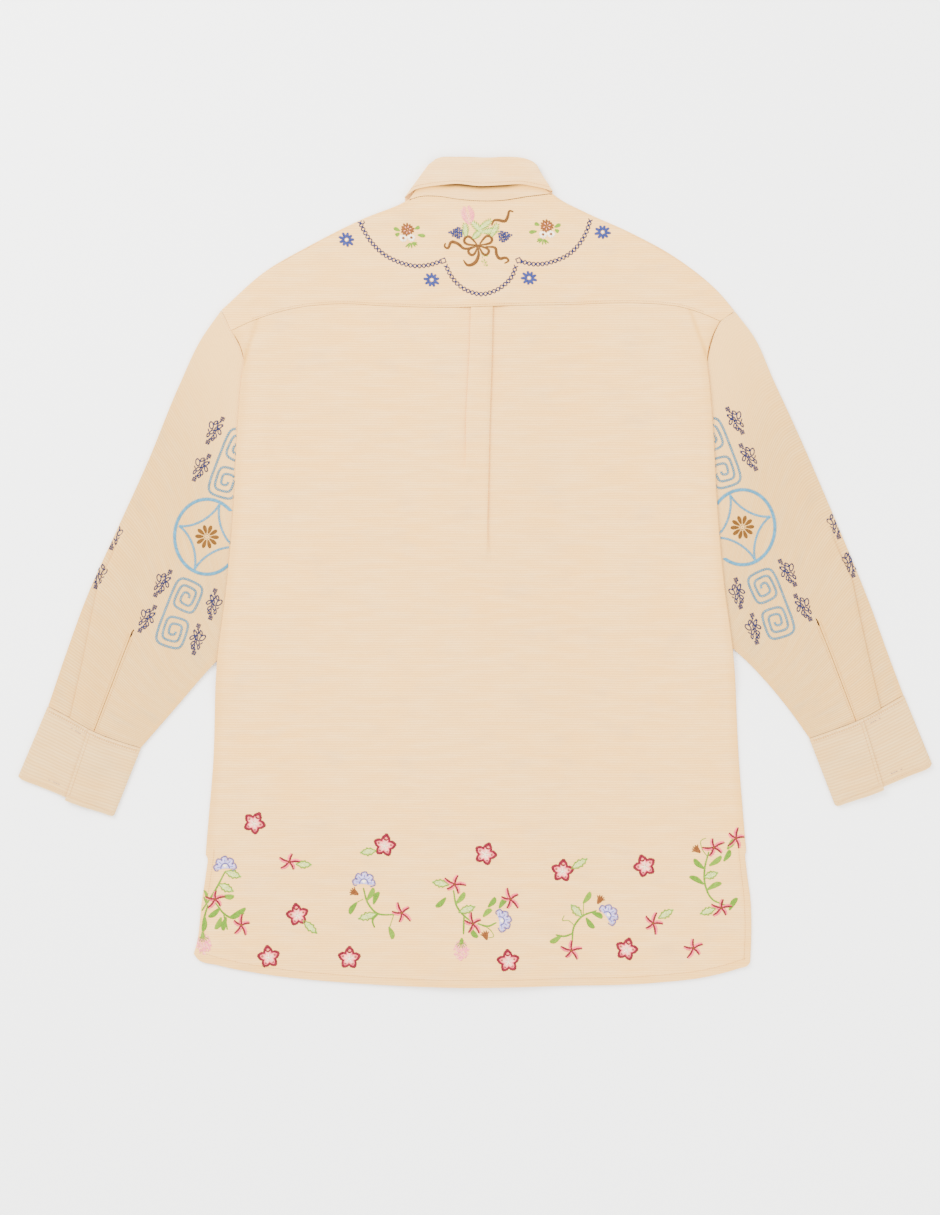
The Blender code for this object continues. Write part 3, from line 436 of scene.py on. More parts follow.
# woven crepe, matt, with ribs across it: the finish sets tones, rib and thread pitch
def clothMaterial(name, finish):
    made, tree, shader = startMaterial(name, {
        "Roughness": finish["roughness"], "IOR": 1.45, "Specular IOR Level": 0.2,
        "Sheen Weight": finish["sheen"], "Sheen Roughness": 0.5})
    grain = addNode(tree, "ShaderNodeUVMap", {"uv_map": "grain"}).outputs[0]
    axes = addNode(tree, "ShaderNodeSeparateXYZ", None, Vector=grain).outputs

    # noise in the cloth: where it is read, its size in mm and its detail
    stretched = addNode(tree, "ShaderNodeMapping", None, Vector=grain, Scale=(0.16, 1.0, 1.0))
    moved = addNode(tree, "ShaderNodeMapping", None, Vector=grain, Location=(0.31, 0.17, 0.0),
                    Scale=(1.0, 1.6, 1.0))
    noises = {
        "slub": (stretched.outputs[0], 7.0, 3.0),    # threads of uneven thickness
        "wander": (grain, 30.0, 2.0),                # ribs that aren't quite straight
        "cloud": (grain, 75.0, 3.0),                 # cream and peach patches
        "below": (moved.outputs[0], 42.0, 2.0),      # what lies under the thin cloth
    }
    value = {"across": axes[0], "along": axes[1]}
    for key, (place, size, detail) in noises.items():
        value[key] = addNode(tree, "ShaderNodeTexNoise", None, Vector=place,
                             Scale=1.0 / (size * mm), Detail=detail).outputs["Fac"]
    ribTurn, threadTurn = [2.0 * math.pi / (finish[key] * mm) for key in ("rib", "thread")]
    sums = (   # result, what is done, with what
        ("shift", "MULTIPLY", "wander", finish["ribWander"] * mm),
        ("ribPlace", "ADD", "along", "shift"),
        ("ribAngle", "MULTIPLY", "ribPlace", ribTurn),
        ("ribs", "SINE", "ribAngle", 0.0),
        ("warpAngle", "MULTIPLY", "across", threadTurn),
        ("weftAngle", "MULTIPLY", "along", threadTurn),
        ("warp", "SINE", "warpAngle", 0.0),
        ("weft", "SINE", "weftAngle", 0.0),
        ("weave", "MULTIPLY", "warp", "weft"),
        ("ribHeight", "MULTIPLY", "ribs", finish["ribHeight"]),
        ("slubHeight", "MULTIPLY", "slub", finish["slubHeight"]),
        ("weaveHeight", "MULTIPLY", "weave", finish["threadHeight"]),
        ("relief", "ADD", "ribHeight", "slubHeight"),
        ("height", "ADD", "relief", "weaveHeight"),
    )
    for result, operation, first, second in sums:
        value[result] = addNode(tree, "ShaderNodeMath", {"operation": operation},
                                i0=value[first], i1=value.get(second, second)).outputs[0]

    # tone for doubled cloth, and painted shade where the attribute runs past 1 into hollows and
    # creases; and for the paler head of a sleeve
    for key in ("doubledAndShade", "head"):
        value[key] = addNode(tree, "ShaderNodeAttribute", {"attribute_name": key}).outputs["Fac"]
    tones = (   # what drives it, from, to, strength, colour
        ("cloud", 0.36, 0.66, 1.0, "warm"),
        ("below", 0.56, 0.74, finish["show"], "cool"),
        ("slub", 0.42, 0.68, finish["slubTone"], "light"),
        ("ribs", -1.0, 1.0, finish["ribTone"], "shade"),
        ("doubledAndShade", 0.0, 1.0, 1.0, "double"),
        # past 1 the attribute paints shade: a painted shadow colour
        ("doubledAndShade", 1.0, 2.0, 1.0, "paintedShade"),
        ("head", 0.0, 1.0, 1.0, "head"),
    )
    colour = linear(finish["base"])
    for driver, low, high, strength, tone in tones:
        share = addNode(tree, "ShaderNodeMapRange", None, Value=value[driver], i1=low, i2=high,
                        i4=strength).outputs[0]
        colour = addNode(tree, "ShaderNodeMix", {"data_type": "RGBA"}, i0=share, i6=colour,
                         i7=linear(finish[tone])).outputs[2]
    tree.links.new(colour, shader.inputs["Base Color"])
    bump = addNode(tree, "ShaderNodeBump", None, Height=value["height"], Distance=mm, Strength=1.0)
    tree.links.new(bump.outputs[0], shader.inputs["Normal"])
    return made


# cotton crepe in plain weave: matt, soft, cream with a peach cast, threads of
# uneven thickness that make fine ribs; the real threads and ribs are less than
# half as coarse, and are drawn wider here because finer ones wouldn't show
crepe = {
    "base": "#ECB96B", "warm": "#EFB762", "cool": "#D4AC74", "light": "#F4CA86",
    # the darkest tone here is a painted shadow colour, for the hollow under the collar fall and
    # beside folds
    "shade": "#C58945", "double": "#D49C48", "paintedShade": "#3A1C08", "head": "#E6B469",
    "roughness": 0.88, "sheen": 0.03, "show": 0.45, "slubTone": 0.4, "ribTone": 0.36,
    "rib": 2.6, "ribWander": 1.8, "thread": 0.7,
    "ribHeight": 0.07, "slubHeight": 0.22, "threadHeight": 0.035,
}
# the same cloth over stiffening: flatter, a little greyer
stiffCrepe = dict(crepe, base="#E8B772", warm="#EAB468", cool="#D3AE7C", light="#F0CC8E",
                  ribHeight=0.05, slubHeight=0.14, ribTone=0.24)
# the sleeves and cuffs lie slightly darker in the photo
sleeveCrepe = dict(crepe, base="#D2A862", warm="#D6A65A", cool="#BC9E6A", light="#DCBA7C",
                   shade="#B58446", show=0.6, rib=3.2, ribTone=0.6)
cuffCrepe = dict(stiffCrepe, base="#D2AA6A", warm="#D5A862", cool="#BCA272", light="#DDBE84",
                 shade="#B8884C", rib=3.4, ribTone=0.5)
finishes = {"cream": crepe, "sleeve": sleeveCrepe, "stiffened": stiffCrepe, "cuff": cuffCrepe}
materials = {key: clothMaterial("cotton_crepe_" + key, finish) for key, finish in finishes.items()}
print("materials", *finishes)


# cloth shells
# points are mid-surface, rows by columns in mm; a ring closes on its first column
def clothShell(name, points, wall, material, grain, doubledAndShade, ring=False, gone=None, head=None):
    points = np.asarray(points, float)
    rows, columns = points.shape[:2]
    total = columns + 1 if ring else columns
    index = np.arange(rows * columns).reshape(rows, columns)
    faces = []
    loops = []
    for row in range(rows - 1):
        for column in range(total - 1):
            if gone and gone(row, column):
                continue
            after = (column + 1) % columns
            faces.append((index[row, column], index[row + 1, column],
                          index[row + 1, after], index[row, after]))
            loops.extend(((row, column), (row + 1, column),
                          (row + 1, column + 1), (row, column + 1)))
    mesh = bpy.data.meshes.new(name)
    mesh.from_pydata((points.reshape(-1, 3) * mm).tolist(), [],
                     [tuple(map(int, face)) for face in faces])
    layerUv = mesh.uv_layers.new(name="grain")
    grain = np.asarray(grain, float)
    layerUv.data.foreach_set("uv", np.array([grain[r, c] for r, c in loops]).ravel() * mm)
    for key, values in (("doubledAndShade", doubledAndShade), ("head", head)):
        if values is not None:
            tone = mesh.attributes.new(key, "FLOAT", "POINT")
            tone.data.foreach_set("value", np.asarray(values, float).ravel())
    mesh.materials.append(material)
    shape = bmesh.new()
    shape.from_mesh(mesh)
    bmesh.ops.delete(shape, geom=[v for v in shape.verts if not v.link_faces], context="VERTS")
    bmesh.ops.remove_doubles(shape, verts=shape.verts, dist=0.01 * mm)
    shape.to_mesh(mesh)
    shape.free()
    made = bpy.data.objects.new(name, mesh)
    scene.collection.objects.link(made)
    wallMaker = made.modifiers.new("wall", "SOLIDIFY")
    wallMaker.thickness = wall * mm
    wallMaker.offset = 0.0
    made = applied(made)
    lowest = min(vert.co.z for vert in made.data.vertices) / mm
    for vert in made.data.vertices:   # none below the floor
        vert.co.z = max(vert.co.z, 0.0)
    made.data.shade_smooth()
    made.data.set_sharp_from_angle(angle=math.radians(55.0))
    print("piece", name, len(made.data.polygons), "faces, lowest", round(lowest, 2))
    return made


# the evaluated mesh takes the place of the object's modifiers
def applied(thing):
    evaluated = thing.evaluated_get(bpy.context.evaluated_depsgraph_get())
    mesh = bpy.data.meshes.new_from_object(evaluated)
    thing.modifiers.clear()
    old = thing.data
    thing.data = mesh
    if old.users == 0:
        bpy.data.meshes.remove(old)
    mesh.name = thing.name
    return thing


def lifted(plan, level, wall):
    height = level(plan[..., 0], plan[..., 1]) + wall / 2.0
    return np.concatenate([plan, height[..., None]], axis=-1)


# half a circle from the lower layer to the upper one: (inset, drop)
def turnedEdge(steps=5):
    radius = layer / 2.0
    half = cloth["wall"] / 2.0
    angles = np.linspace(-math.pi / 2.0, math.pi / 2.0, steps)
    return [(half + radius * (1.0 - math.cos(a)), radius * (1.0 - math.sin(a))) for a in angles]


# back panel
backSetup = {
    "length": 733.5, "rowStep": 4.6, "columns": 58, "crowd": 1.5,
    "hem": 8.5, "hemRise": 0.22, "vent": -292.0, "ventTurn": 8.6,
    "creases": (
        (-19.8, -447, -19, -405, 2.6, 0.9),      # pinched at the hem
        (-242, -425, -236, -385, 5, 0.9),
        (232, -430, 238, -380, 6, 0.8),
        (-232, 215, -216, 20, 9, 1.1),
        (240, 210, 222, 10, 9, 1.1),
        (-120, 270, -150, -60, 26, 0.8),
        (130, 260, 160, -120, 30, 0.8),
        (-60, 60, -95, -330, 30, 0.7),
        (60, 20, 85, -400, 26, 0.9),
        (-235, -40, -205, -260, 18, 0.9),
        (245, -60, 225, -300, 20, 0.9),
        (-5, 60, 2, -160, 9, 0.8),
    ),
    "sideFolds": ((-229, 290, -257.5, 202, 2.2, -1),
                  (226, 299, 261, 203, 2.2, -1)),
}


def backPanel(setup):
    length = setup["length"]
    downs = list(np.arange(0.0, length - 14.0, setup["rowStep"]))
    downs = [0.0, 1.2, 2.4] + downs[1:]
    downs += [length - d for d in (12.0, 10.0, 9.0, 8.3, 7.6, 5.0, 2.0, 0.8, 0.0)]
    grid, grain, doubledAndShade = [], [], []
    for down in downs:
        v = down / length
        left = spline(bodyLeft, v)[0]
        right = spline(bodyRight, v)[0]
        lip = sideEdge["lipTop"] + (sideEdge["lip"] - sideEdge["lipTop"]) * ease(
            (sideEdge["start"] - left[1]) / (sideEdge["start"] - sideEdge["full"]))
        share = (lap["centre"] - left[0]) / (right[0] - left[0])
        yMid = left[1] + share * (right[1] - left[1])
        yMid += (1 - v) * (heightAt(yokeSeam, lap["centre"]) - cloth["seam"] - cloth["facet"]
                           - bodyLeft[0][1] - share * (bodyRight[0][1] - bodyLeft[0][1]))
        yMid += v * (heightAt(hemLine, lap["centre"])
                     - bodyLeft[-1][1] - share * (bodyRight[-1][1] - bodyLeft[-1][1]))
        edgeLeft, edgeRight = pleatAt(yMid)
        edge = [(lip, layer), (0.5 * (lip + 2.0), layer)] + turnedEdge()
        edge += [(inset, 0.0) for inset in (2.4, 4.5, 7.0, 8.2, 9.2, 11.0)]
        foldLeft = np.array(pleatFold(yMid, 1, pleat["leftEnd"])).T + (edgeLeft, 0.0)
        foldRight = np.array(pleatFold(yMid, -1, pleat["rightEnd"])).T + (edgeRight, 0.0)
        # columns as x, drop, distance from the side edge: edge, cloth, pleat, cloth, edge
        far = 99.0   # not near an edge
        columns = [(left[0] + away, -drop, away) for away, drop in edge]
        start, stop = left[0] + 11.0, foldLeft[0][0] - 2.5
        columns += [(start + s * (stop - start), 0.0, far)
                    for s in np.linspace(0.0, 1.0, setup["columns"])[1:] ** setup["crowd"]]
        columns += [(x, rise, far) for x, rise in foldLeft]
        columns += [(*(foldLeft[-1] + s * (foldRight[0] - foldLeft[-1])), far)
                    for s in (0.2, 0.5, 0.8)]
        columns += [(x, rise, far) for x, rise in foldRight]
        start, stop = foldRight[-1][0] + 2.5, right[0] - 11.0
        columns += [(start + s * (stop - start), 0.0, far)
                    for s in 1.0 - np.linspace(1.0, 0.0, setup["columns"])[:-1] ** setup["crowd"]]
        columns += [(right[0] - away, -drop, away) for away, drop in edge[::-1]]
        xs, drops, inset = np.array(columns).T
        share = (xs - left[0]) / (right[0] - left[0])
        ys = left[1] + share * (right[1] - left[1])
        topLine = bodyLeft[0][1] + share * (bodyRight[0][1] - bodyLeft[0][1])
        lowLine = bodyLeft[-1][1] + share * (bodyRight[-1][1] - bodyLeft[-1][1])
        ys = ys + (1 - v) * (heightAt(yokeSeam, xs) - cloth["seam"] - 0.2 - topLine)
        ys = ys + v * (heightAt(hemLine, xs) - lowLine)
        upper = drops > -0.1
        sideFold = creaseHeight(setup["sideFolds"], xs, ys) * upper
        vent = ease((setup["vent"] - ys) / 4.0) * (inset < setup["ventTurn"])
        sideTone = 0.45 * ease((12.0 - inset) / 12.0)
        band = np.maximum(float(length - down < setup["hem"]), vent)
        level = backLevel(xs, ys) + cloth["wall"] / 2.0 + drops
        level = level + creaseHeight(setup["creases"], xs, ys) * upper
        level = level + sideFold + setup["hemRise"] * band * upper
        grid.append(np.column_stack([xs, ys, level]))
        grain.append(np.column_stack([xs, ys]))
        # the side folds' troughs raise the tone: painted shade in the creases
        doubledAndShade.append(np.clip(0.22 * band + (1.0 - band) * sideTone - 0.8 * sideFold, 0.0, 1.2))
    return clothShell("back_panel_cloth", grid, cloth["wall"], materials["cream"], grain, doubledAndShade)


# yoke
yokeSetup = {
    "shoulder": 34, "neck": 30,
    "rows": (0, 0.008, 0.016, 0.03, 0.06, 0.1, 0.15, 0.2, 0.25, 0.3, 0.35, 0.4, 0.45, 0.5,
             0.55, 0.6, 0.65, 0.7, 0.75, 0.8, 0.85, 0.9, 0.94, 0.965, 0.98),
    "creases": (
        (-232, 296, -252, 290, 3, 0.8),
        (212, 304, 246, 296, 3.5, 0.9),
        (-130, 305, -112, 335, 9, 0.7),
        (120, 300, 150, 350, 12, 0.6),
        (-60, 300, -90, 350, 12, 0.5),
    ),
}


def yokePiece(setup):
    shares = np.linspace(0.0, 1.0, setup["shoulder"])
    left = spline(shoulderLeft, shares)
    neck = spline(neckBack, np.linspace(0.0, 1.0, setup["neck"] + 2)[1:-1])
    right = spline(shoulderRight, shares)[::-1]
    top = np.concatenate([left, neck, right])
    count = len(top)
    isNeck = np.zeros(count, bool)
    isNeck[len(left):len(left) + len(neck)] = True
    share = (top[:, 0] - top[0, 0]) / (top[-1, 0] - top[0, 0])
    seamX = yokeSeam[0][0] + share * (yokeSeam[-1][0] - yokeSeam[0][0])
    low = np.column_stack([seamX, heightAt(yokeSeam, seamX)])
    way = low - top
    way = way / np.linalg.norm(way, axis=1)[:, None]
    grid = []
    for v in setup["rows"]:
        plan = low + v * (top - low)
        row = lifted(plan, yokeLevel, cloth["wall"])
        row[:, 2] += creaseHeight(setup["creases"], plan[:, 0], plan[:, 1])
        grid.append(row)
    upper = yokeLevel(top[:, 0], top[:, 1])
    lower = frontLevel(top[:, 0], top[:, 1])
    for angle in (90.0, 50.0, 0.0, -50.0, -90.0):   # the shoulder fold
        a = math.radians(angle)
        inset = np.where(isNeck, 0.1, 1.6 * (1.0 - math.cos(a)))
        plan = top + way * inset[:, None]
        height = 0.5 * (upper + lower) + 0.5 * (upper - lower) * math.sin(a)
        height = height + cloth["wall"] / 2.0
        grid.append(np.column_stack([plan, height]))
    foldRow = len(grid) - 5
    side = np.sign(top[:, 0] - lap["centre"])
    leg = np.column_stack([-side * yokeLeg[0], np.full(count, yokeLeg[1])])
    leg[isNeck] = 0.0
    for v in np.linspace(0.0, 1.0, 9)[1:]:
        grid.append(lifted(top + v * leg, frontLevel, cloth["wall"]))
    first, last = len(left) - 1, len(left) + len(neck)
    grain = np.array(grid)[..., :2]
    doubledAndShade = np.zeros(grain.shape[:2])
    doubledAndShade[1:3] = 0.25
    doubledAndShade[foldRow - 1:foldRow + 3] = 0.2

    def neckHole(row, column):
        return row >= foldRow and first <= column < last

    return clothShell("yoke_cloth", grid, cloth["wall"], materials["cream"], grain, doubledAndShade,
                      gone=neckHole)


# fronts
frontSetup = {"columns": 46, "rows": 70, "bandColumns": 4, "hemRows": 2, "doubledAndShade": 0.4}


def frontPiece(name, side, level):
    edges = frontEdges(side)
    u, v = np.meshgrid(np.linspace(0.0, 1.0, frontSetup["columns"]),
                       np.linspace(0.0, 1.0, frontSetup["rows"]))
    plan = patch(*edges, u, v)
    doubledAndShade = np.zeros(u.shape)
    doubledAndShade[:, -frontSetup["bandColumns"]:] = frontSetup["doubledAndShade"]
    doubledAndShade[-frontSetup["hemRows"]:, :] = frontSetup["doubledAndShade"]
    return clothShell(name, lifted(plan, level, cloth["wall"]), cloth["wall"],
                      materials["cream"], plan, doubledAndShade)


# sleeves
sleeveSetup = {
    "rows": 96, "under": 26,
    "left": {"creases": (
        (-262, 262, -288, 170, 8, 1.5),
        (-288, 185, -306, 60, 9, 1.7),
        (-306, 80, -370, -60, 8, 1.2),
        (-285, 40, -300, -70, 9, 0.8),
        (-330, 120, -372, 20, 10, 0.7),
        (-400, -20, -436, -120, 7, 0.7),
        (-330, -70, -372, -160, 9, 0.8),
        (-246, -20, -300, -90, 8, 0.8),
    )},
    "right": {"creases": (
        (262, 265, 286, 200, 7, 1.5),
        (280, 215, 316, 95, 9, 1.7),
        (308, 120, 366, -45, 8, 1.3),
        (286, 40, 302, -60, 9, 0.8),
        (330, 120, 376, 20, 10, 0.7),
        (402, -10, 438, -110, 7, 0.7),
        (332, -60, 374, -150, 9, 0.8),
        (246, -15, 298, -80, 8, 0.8),
    )},
}


def sleevePiece(side):
    shape = sleeveEdges[side]
    edges = [shape[key] for key in ("armhole", "cuffSeam", "outer", "inner")]
    slit, tuck = shape["slit"], shape["tuck"]
    creases = sleeveSetup[side]["creases"]
    rowShares = sorted(set(np.round(np.linspace(0.0, 1.0, sleeveSetup["rows"]), 4))
                       | {0.004, 0.008, 0.012, 0.99, slit[2]})
    under = np.linspace(1.0, 0.0, sleeveSetup["under"])
    long = sleeveFold["grainLong"]
    toSlit = (0.0, 0.12, 0.25, 0.38, 0.5, 0.62, 0.74, 0.85, 0.93, 1.0)
    inner = (0.06, 0.1, 0.16, 0.24, 0.32, 0.4, 0.48, 0.56, 0.64, 0.72, 0.8, 0.87, 0.93, 0.97, 1.0)
    grid, grain, doubledAndShade, head = [], [], [], []
    for v in rowShares:
        ends = patch(*edges, np.array([0.0, 1.0]), np.array([v, v]))
        width = float(np.linalg.norm(ends[1] - ends[0]))
        run = float(ease((v - tuck[2]) / (1.0 - tuck[2])))
        past = max(0.0, (v - tuck[2]) / (1.0 - tuck[2]))
        atTuck = tuck[0] + (tuck[1] - tuck[0]) * past
        atSlit = slit[0] + (slit[1] - slit[0]) * max(0.0, (v - slit[2]) / (1.0 - slit[2]))
        depth = pleat["least"] + (sleeveFold["tuckDepth"] - pleat["least"]) * run
        opens = sleeveFold["tuckOpens"]
        angle = 180.0 * float(np.clip((v - tuck[2] + opens) / opens, 0.0, 1.0))
        dx, dz = fold(1, depth, angle)
        high = float(dz[-1])
        atTuck = max(atTuck, (3.0 - float(min(dx))) / width)
        gap = sleeveFold["slitGap"] * (1.0 + 1.8 * math.exp(-((v - slit[2]) / 0.03) ** 2))
        gap = min(gap, 0.04 * width)
        before = atTuck + min(0.0, float(min(dx))) / width
        folded = float(ease((v - tuck[2] + 0.05) / 0.08))
        # columns as share, rise, tone: lower layer, edge, fold of the tuck, cloth, slit, cloth; the
        # tone past 1 just before the tuck's fold edge is a painted shadow line
        columns = [(u, -layer, 0.1) for u in under]
        columns += [(0.0, 0.0, 0.35), (0.25 * before, 0.0, 0.05), (0.45 * before, 0.0, 0.0),
                    (before - 1.6 / width, 0.0, 0.0), (before - 0.3 / width, 0.0, 1.25 * folded)]
        columns += [(atTuck + across / width, up, 0.12) for across, up in zip(dx, dz)]
        start, stop = atTuck + (max(dx) + 2.0) / width, atSlit - 0.5 * gap / width
        parted = v > slit[2]
        columns += [(start + s * (stop - start), high * (1.0 - ease(s)),
                     0.1 + 0.3 * (s > 0.9) * parted) for s in toSlit]
        slitCell = len(columns) - 1
        columns.append((atSlit + 0.5 * gap / width, 0.0, 0.4 * parted))
        columns += [(atSlit + s * (1.0 - atSlit), 0.0, 0.35 * (s > 0.965)) for s in inner]
        u, rise, tone = np.array(columns, float).T
        rise = layer + rise
        plan = patch(*edges, u, np.full(len(u), v))
        row = lifted(plan, sleeveLevel, cloth["wall"])
        row[:, 2] += rise
        deep = reach(bodyOutline, row[:, 0], row[:, 1])
        shown = ease((sideEdge["lip"] + 8.0 - deep) / 20.0 - 0.6)
        soft = np.clip(4.0 * u * (1.0 - u), 0.0, 1.0) * (rise > 0.0)
        row[:, 2] += creaseHeight(creases, row[:, 0], row[:, 1]) * soft * shown
        grid.append(row)
        grain.append(np.column_stack([np.append(u, 1.0) * width, np.full(len(u) + 1, v * long)]))
        doubledAndShade.append(tone)
        head.append(np.full(len(u), 0.8 * float(1.0 - ease(v / 0.34))))
    slitRow = rowShares.index(slit[2])

    def slitHole(row, column):
        return column == slitCell and row >= slitRow

    return clothShell(f"sleeve_{side}_cloth", grid, cloth["wall"], materials["sleeve"], grain,
                      doubledAndShade, ring=True, gone=slitHole, head=head)


# cuffs
cuffSetup = {"lap": 0.15, "step": 3.2, "wide": 110.0, "tall": 80.0, "edgeTone": 0.05}


def cuffPiece(side):
    shape = sleeveEdges[side]
    seam, end = shape["cuffSeam"], shape["cuffEnd"]
    atSlit, slitEnd = shape["cuffSlit"]
    down = np.array(end[0]) - np.array(seam[0])
    down = down / np.linalg.norm(down)
    top = shifted(seam, *(down * 0.5))
    lapOver = cuffSetup["lap"]
    over = atSlit + lapOver
    # once round the wrist as share across and layer: upper, lower and the end that laps over
    path = [(over, 1.0), (over - 0.5 * lapOver, 1.0), (atSlit, 1.0)]
    path += [(s * atSlit, 1.0) for s in (0.86, 0.72, 0.58, 0.44, 0.3, 0.18, 0.08, 0.02)]
    path += [(0.0, 0.7), (0.0, 0.3), (0.02, 0.0)]
    path += [(s, 0.0) for s in np.linspace(0.08, 0.92, 12)]
    path += [(0.98, 0.0)]
    lastUnder = len(path)
    path += [(1.0, 0.3), (1.0, 0.7), (0.98, 1.0)]
    path += [(1.0 + s * (over + 0.17 - 1.0), 1.0) for s in (0.2, 0.4, 0.6, 0.8, 1.0)]
    path += [(over + 0.1, 1.4), (over + 0.03, 2.0), (atSlit + 0.5 * lapOver, 2.0),
             (atSlit + 0.02, 2.0), (atSlit, 1.98)]
    rows = (0.0, 0.01, 0.03, 0.06, 0.1, 0.2, 0.3, 0.4, 0.5, 0.6, 0.7, 0.8, 0.87, 0.93, 0.97, 1.0)
    shares, layers = np.array(path, float).T
    u, v = np.meshgrid(shares, rows)
    u = u + (slitEnd - atSlit) * v * np.interp(u, (0.05, atSlit, over, 0.95), (0.0, 1.0, 1.0, 0.0))
    plan = patch(top, end, (top[0], end[0]), (top[-1], end[-1]), u, v)
    lapped = ease((1.0 - shares) / (1.0 - atSlit)) * (np.arange(len(path)) > lastUnder)
    plan = plan + (cuffSetup["step"] * v * lapped)[..., None] * down
    level = layers * cuffLayer + cloth["cuffWall"] / 2.0
    points = np.concatenate([plan, np.broadcast_to(level, u.shape)[..., None]], axis=-1)
    doubledAndShade = cuffSetup["edgeTone"] * ((v < 0.05) | (v > 0.92))
    grain = np.stack([u * cuffSetup["wide"], v * cuffSetup["tall"]], axis=-1)
    return clothShell(f"cuff_{side}_cloth", points, cloth["cuffWall"], materials["cuff"], grain,
                      doubledAndShade)


# collar
collarSetup = {"gap": 0.1, "standColumns": 40, "standRows": 17, "front": 18, "back": 46,
               "puff": 0.35, "openAt": 4.0, "openWide": 46.0}


def neckSeam(side):
    top = np.array(frontEdges(side)[0])
    chord = np.linalg.norm(np.diff(top, axis=0), axis=1)
    corner = chord[:len(top) - len(neckFront) - 1].sum() / chord.sum()
    return spline(top, np.linspace(corner, 1.0, 20))


def collarStandPiece():
    gap = collarSetup["gap"]
    alongBack = np.linspace(0.0, 1.0, collarSetup["standColumns"])
    backTop = spline((standFrontTop[0], *standBackTop, standFrontTopRight[0]), alongBack)
    backLow = spline(shifted(neckBack, 0.0, gap), alongBack)
    backLow[:, 0] += np.linspace(gap, -gap - 2.0, collarSetup["standColumns"])
    sides = []
    for side, top in ((-1, standFrontTop), (1, standFrontTopRight)):
        seam = neckSeam(side) + np.array([-side * gap, gap])
        corner = backLow[0] if side < 0 else backLow[-1]
        leg = [corner + share * (seam[0] - corner) for share in np.linspace(0.0, 1.0, 10)[:-1]]
        low = np.concatenate([leg, seam])
        chord = np.linalg.norm(np.diff(low, axis=0), axis=1)
        along = np.concatenate([[0.0], np.cumsum(chord)]) / chord.sum()
        sides.append((low, spline(top, along)))
    runs = ((sides[0][0][::-1], sides[0][1][::-1], standLevelLeft),
            (backLow, backTop, backLevel),
            (sides[1][0], sides[1][1], frontLevel))
    grid = np.array([
        np.concatenate([lifted((1.0 - share) * low + share * high, level, cloth["collarWall"])
                        for low, high, level in runs])
        for share in np.linspace(0.0, 1.0, collarSetup["standRows"])])
    # painted shadow under the fall's edge: the tone runs past 1 into the painted shade colour,
    # deepest at the middle
    x, y = grid[..., 0], grid[..., 1]
    under = (y - np.interp(x, *np.array(fallEdgeBack).T)) / 7.0 + 1.0
    doubledAndShade = 0.2 + 1.75 * ease(under) * (0.45 + 0.55 * ease((56.0 - np.abs(x - 4.0)) / 30.0))
    return clothShell("collar_stand_cloth", grid, cloth["collarWall"], materials["stiffened"],
                      grid[..., :2], doubledAndShade)


def collarFallPiece():
    outwards, alongBack = (np.linspace(0.0, 1.0, collarSetup[key]) for key in ("front", "back"))
    runs = ((fallEdgeFront, rollFront, outwards[::-1], None, standLevelLeft),
            (fallEdgeBack, rollBack, alongBack, backLevel, backLevel),
            (fallEdgeFrontRight, rollFrontRight, outwards, None, frontLevel))
    legRows = (0.0, 0.03, 0.08, 0.14, 0.24, 0.36, 0.5, 0.64, 0.78, 0.9, 0.96)
    bend = (90.0, 50.0, 0.0, -50.0, -90.0)
    rows = [[] for k in range(len(legRows) + len(bend) + 2)]
    for edge, roll, along, outer, inner in runs:
        free = spline(edge, along)
        high = spline(roll, along)
        way = free - high
        way = way / np.linalg.norm(way, axis=1)[:, None]
        if outer:
            way = np.tile([0.0, -1.0], (len(along), 1))
        upper = outer(high[:, 0], high[:, 1]) + collarLayer if outer else 0.0 * high[:, 0]
        lower = inner(high[:, 0], high[:, 1])
        for k, share in enumerate(legRows):
            plan = free + share * (high - free)
            points = lifted(plan, outer or floorLevel, cloth["collarWall"])
            if outer:   # puffed a little, and its edge stands off at the middle
                points[:, 2] += collarLayer
                points[:, 2] += collarSetup["puff"] * math.sin(math.pi * share)
                off = (points[:, 0] - collarSetup["openAt"]) / collarSetup["openWide"]
                points[:, 2] += fallStandsOff * (np.exp(-off ** 2) * (1.0 - share) ** 2)
            rows[k].append(points)
        for k, angle in enumerate(bend):
            a = math.radians(angle)
            plan = high + way * (0.8 * (1.0 - math.cos(a)))
            height = 0.5 * (upper + lower) + 0.5 * (upper - lower) * math.sin(a)
            rows[len(legRows) + k].append(
                np.column_stack([plan, height + cloth["collarWall"] / 2.0]))
        for k, share in enumerate((0.6, 1.0)):
            plan = high + way * rollReturn * share
            rows[len(legRows) + len(bend) + k].append(lifted(plan, inner, cloth["collarWall"]))
    grid = np.array([np.concatenate(row) for row in rows])
    leftTurn = collarSetup["front"] - 1
    rightTurn = leftTurn + collarSetup["back"]
    bendRow = len(legRows)

    def sideTurn(row, column):
        close = min(abs(column - leftTurn), abs(column - rightTurn))
        return row >= bendRow and close <= 2

    doubledAndShade = np.zeros(grid.shape[:2])
    doubledAndShade[:3] = 0.2
    return clothShell("collar_fall_cloth", grid, cloth["collarWall"], materials["stiffened"],
                      grid[..., :2], doubledAndShade, gone=sideTurn)


pieces = {
    "back_panel": backPanel(backSetup),
    "yoke": yokePiece(yokeSetup),
    "front_left": frontPiece("front_left_cloth", -1, innerFrontLevel),
    "front_right": frontPiece("front_right_cloth", 1, frontLevel),
    "sleeve_left": sleevePiece("left"),
    "sleeve_right": sleevePiece("right"),
    "cuff_left": cuffPiece("left"),
    "cuff_right": cuffPiece("right"),
    "collar_stand": collarStandPiece(),
    "collar_fall": collarFallPiece(),
}


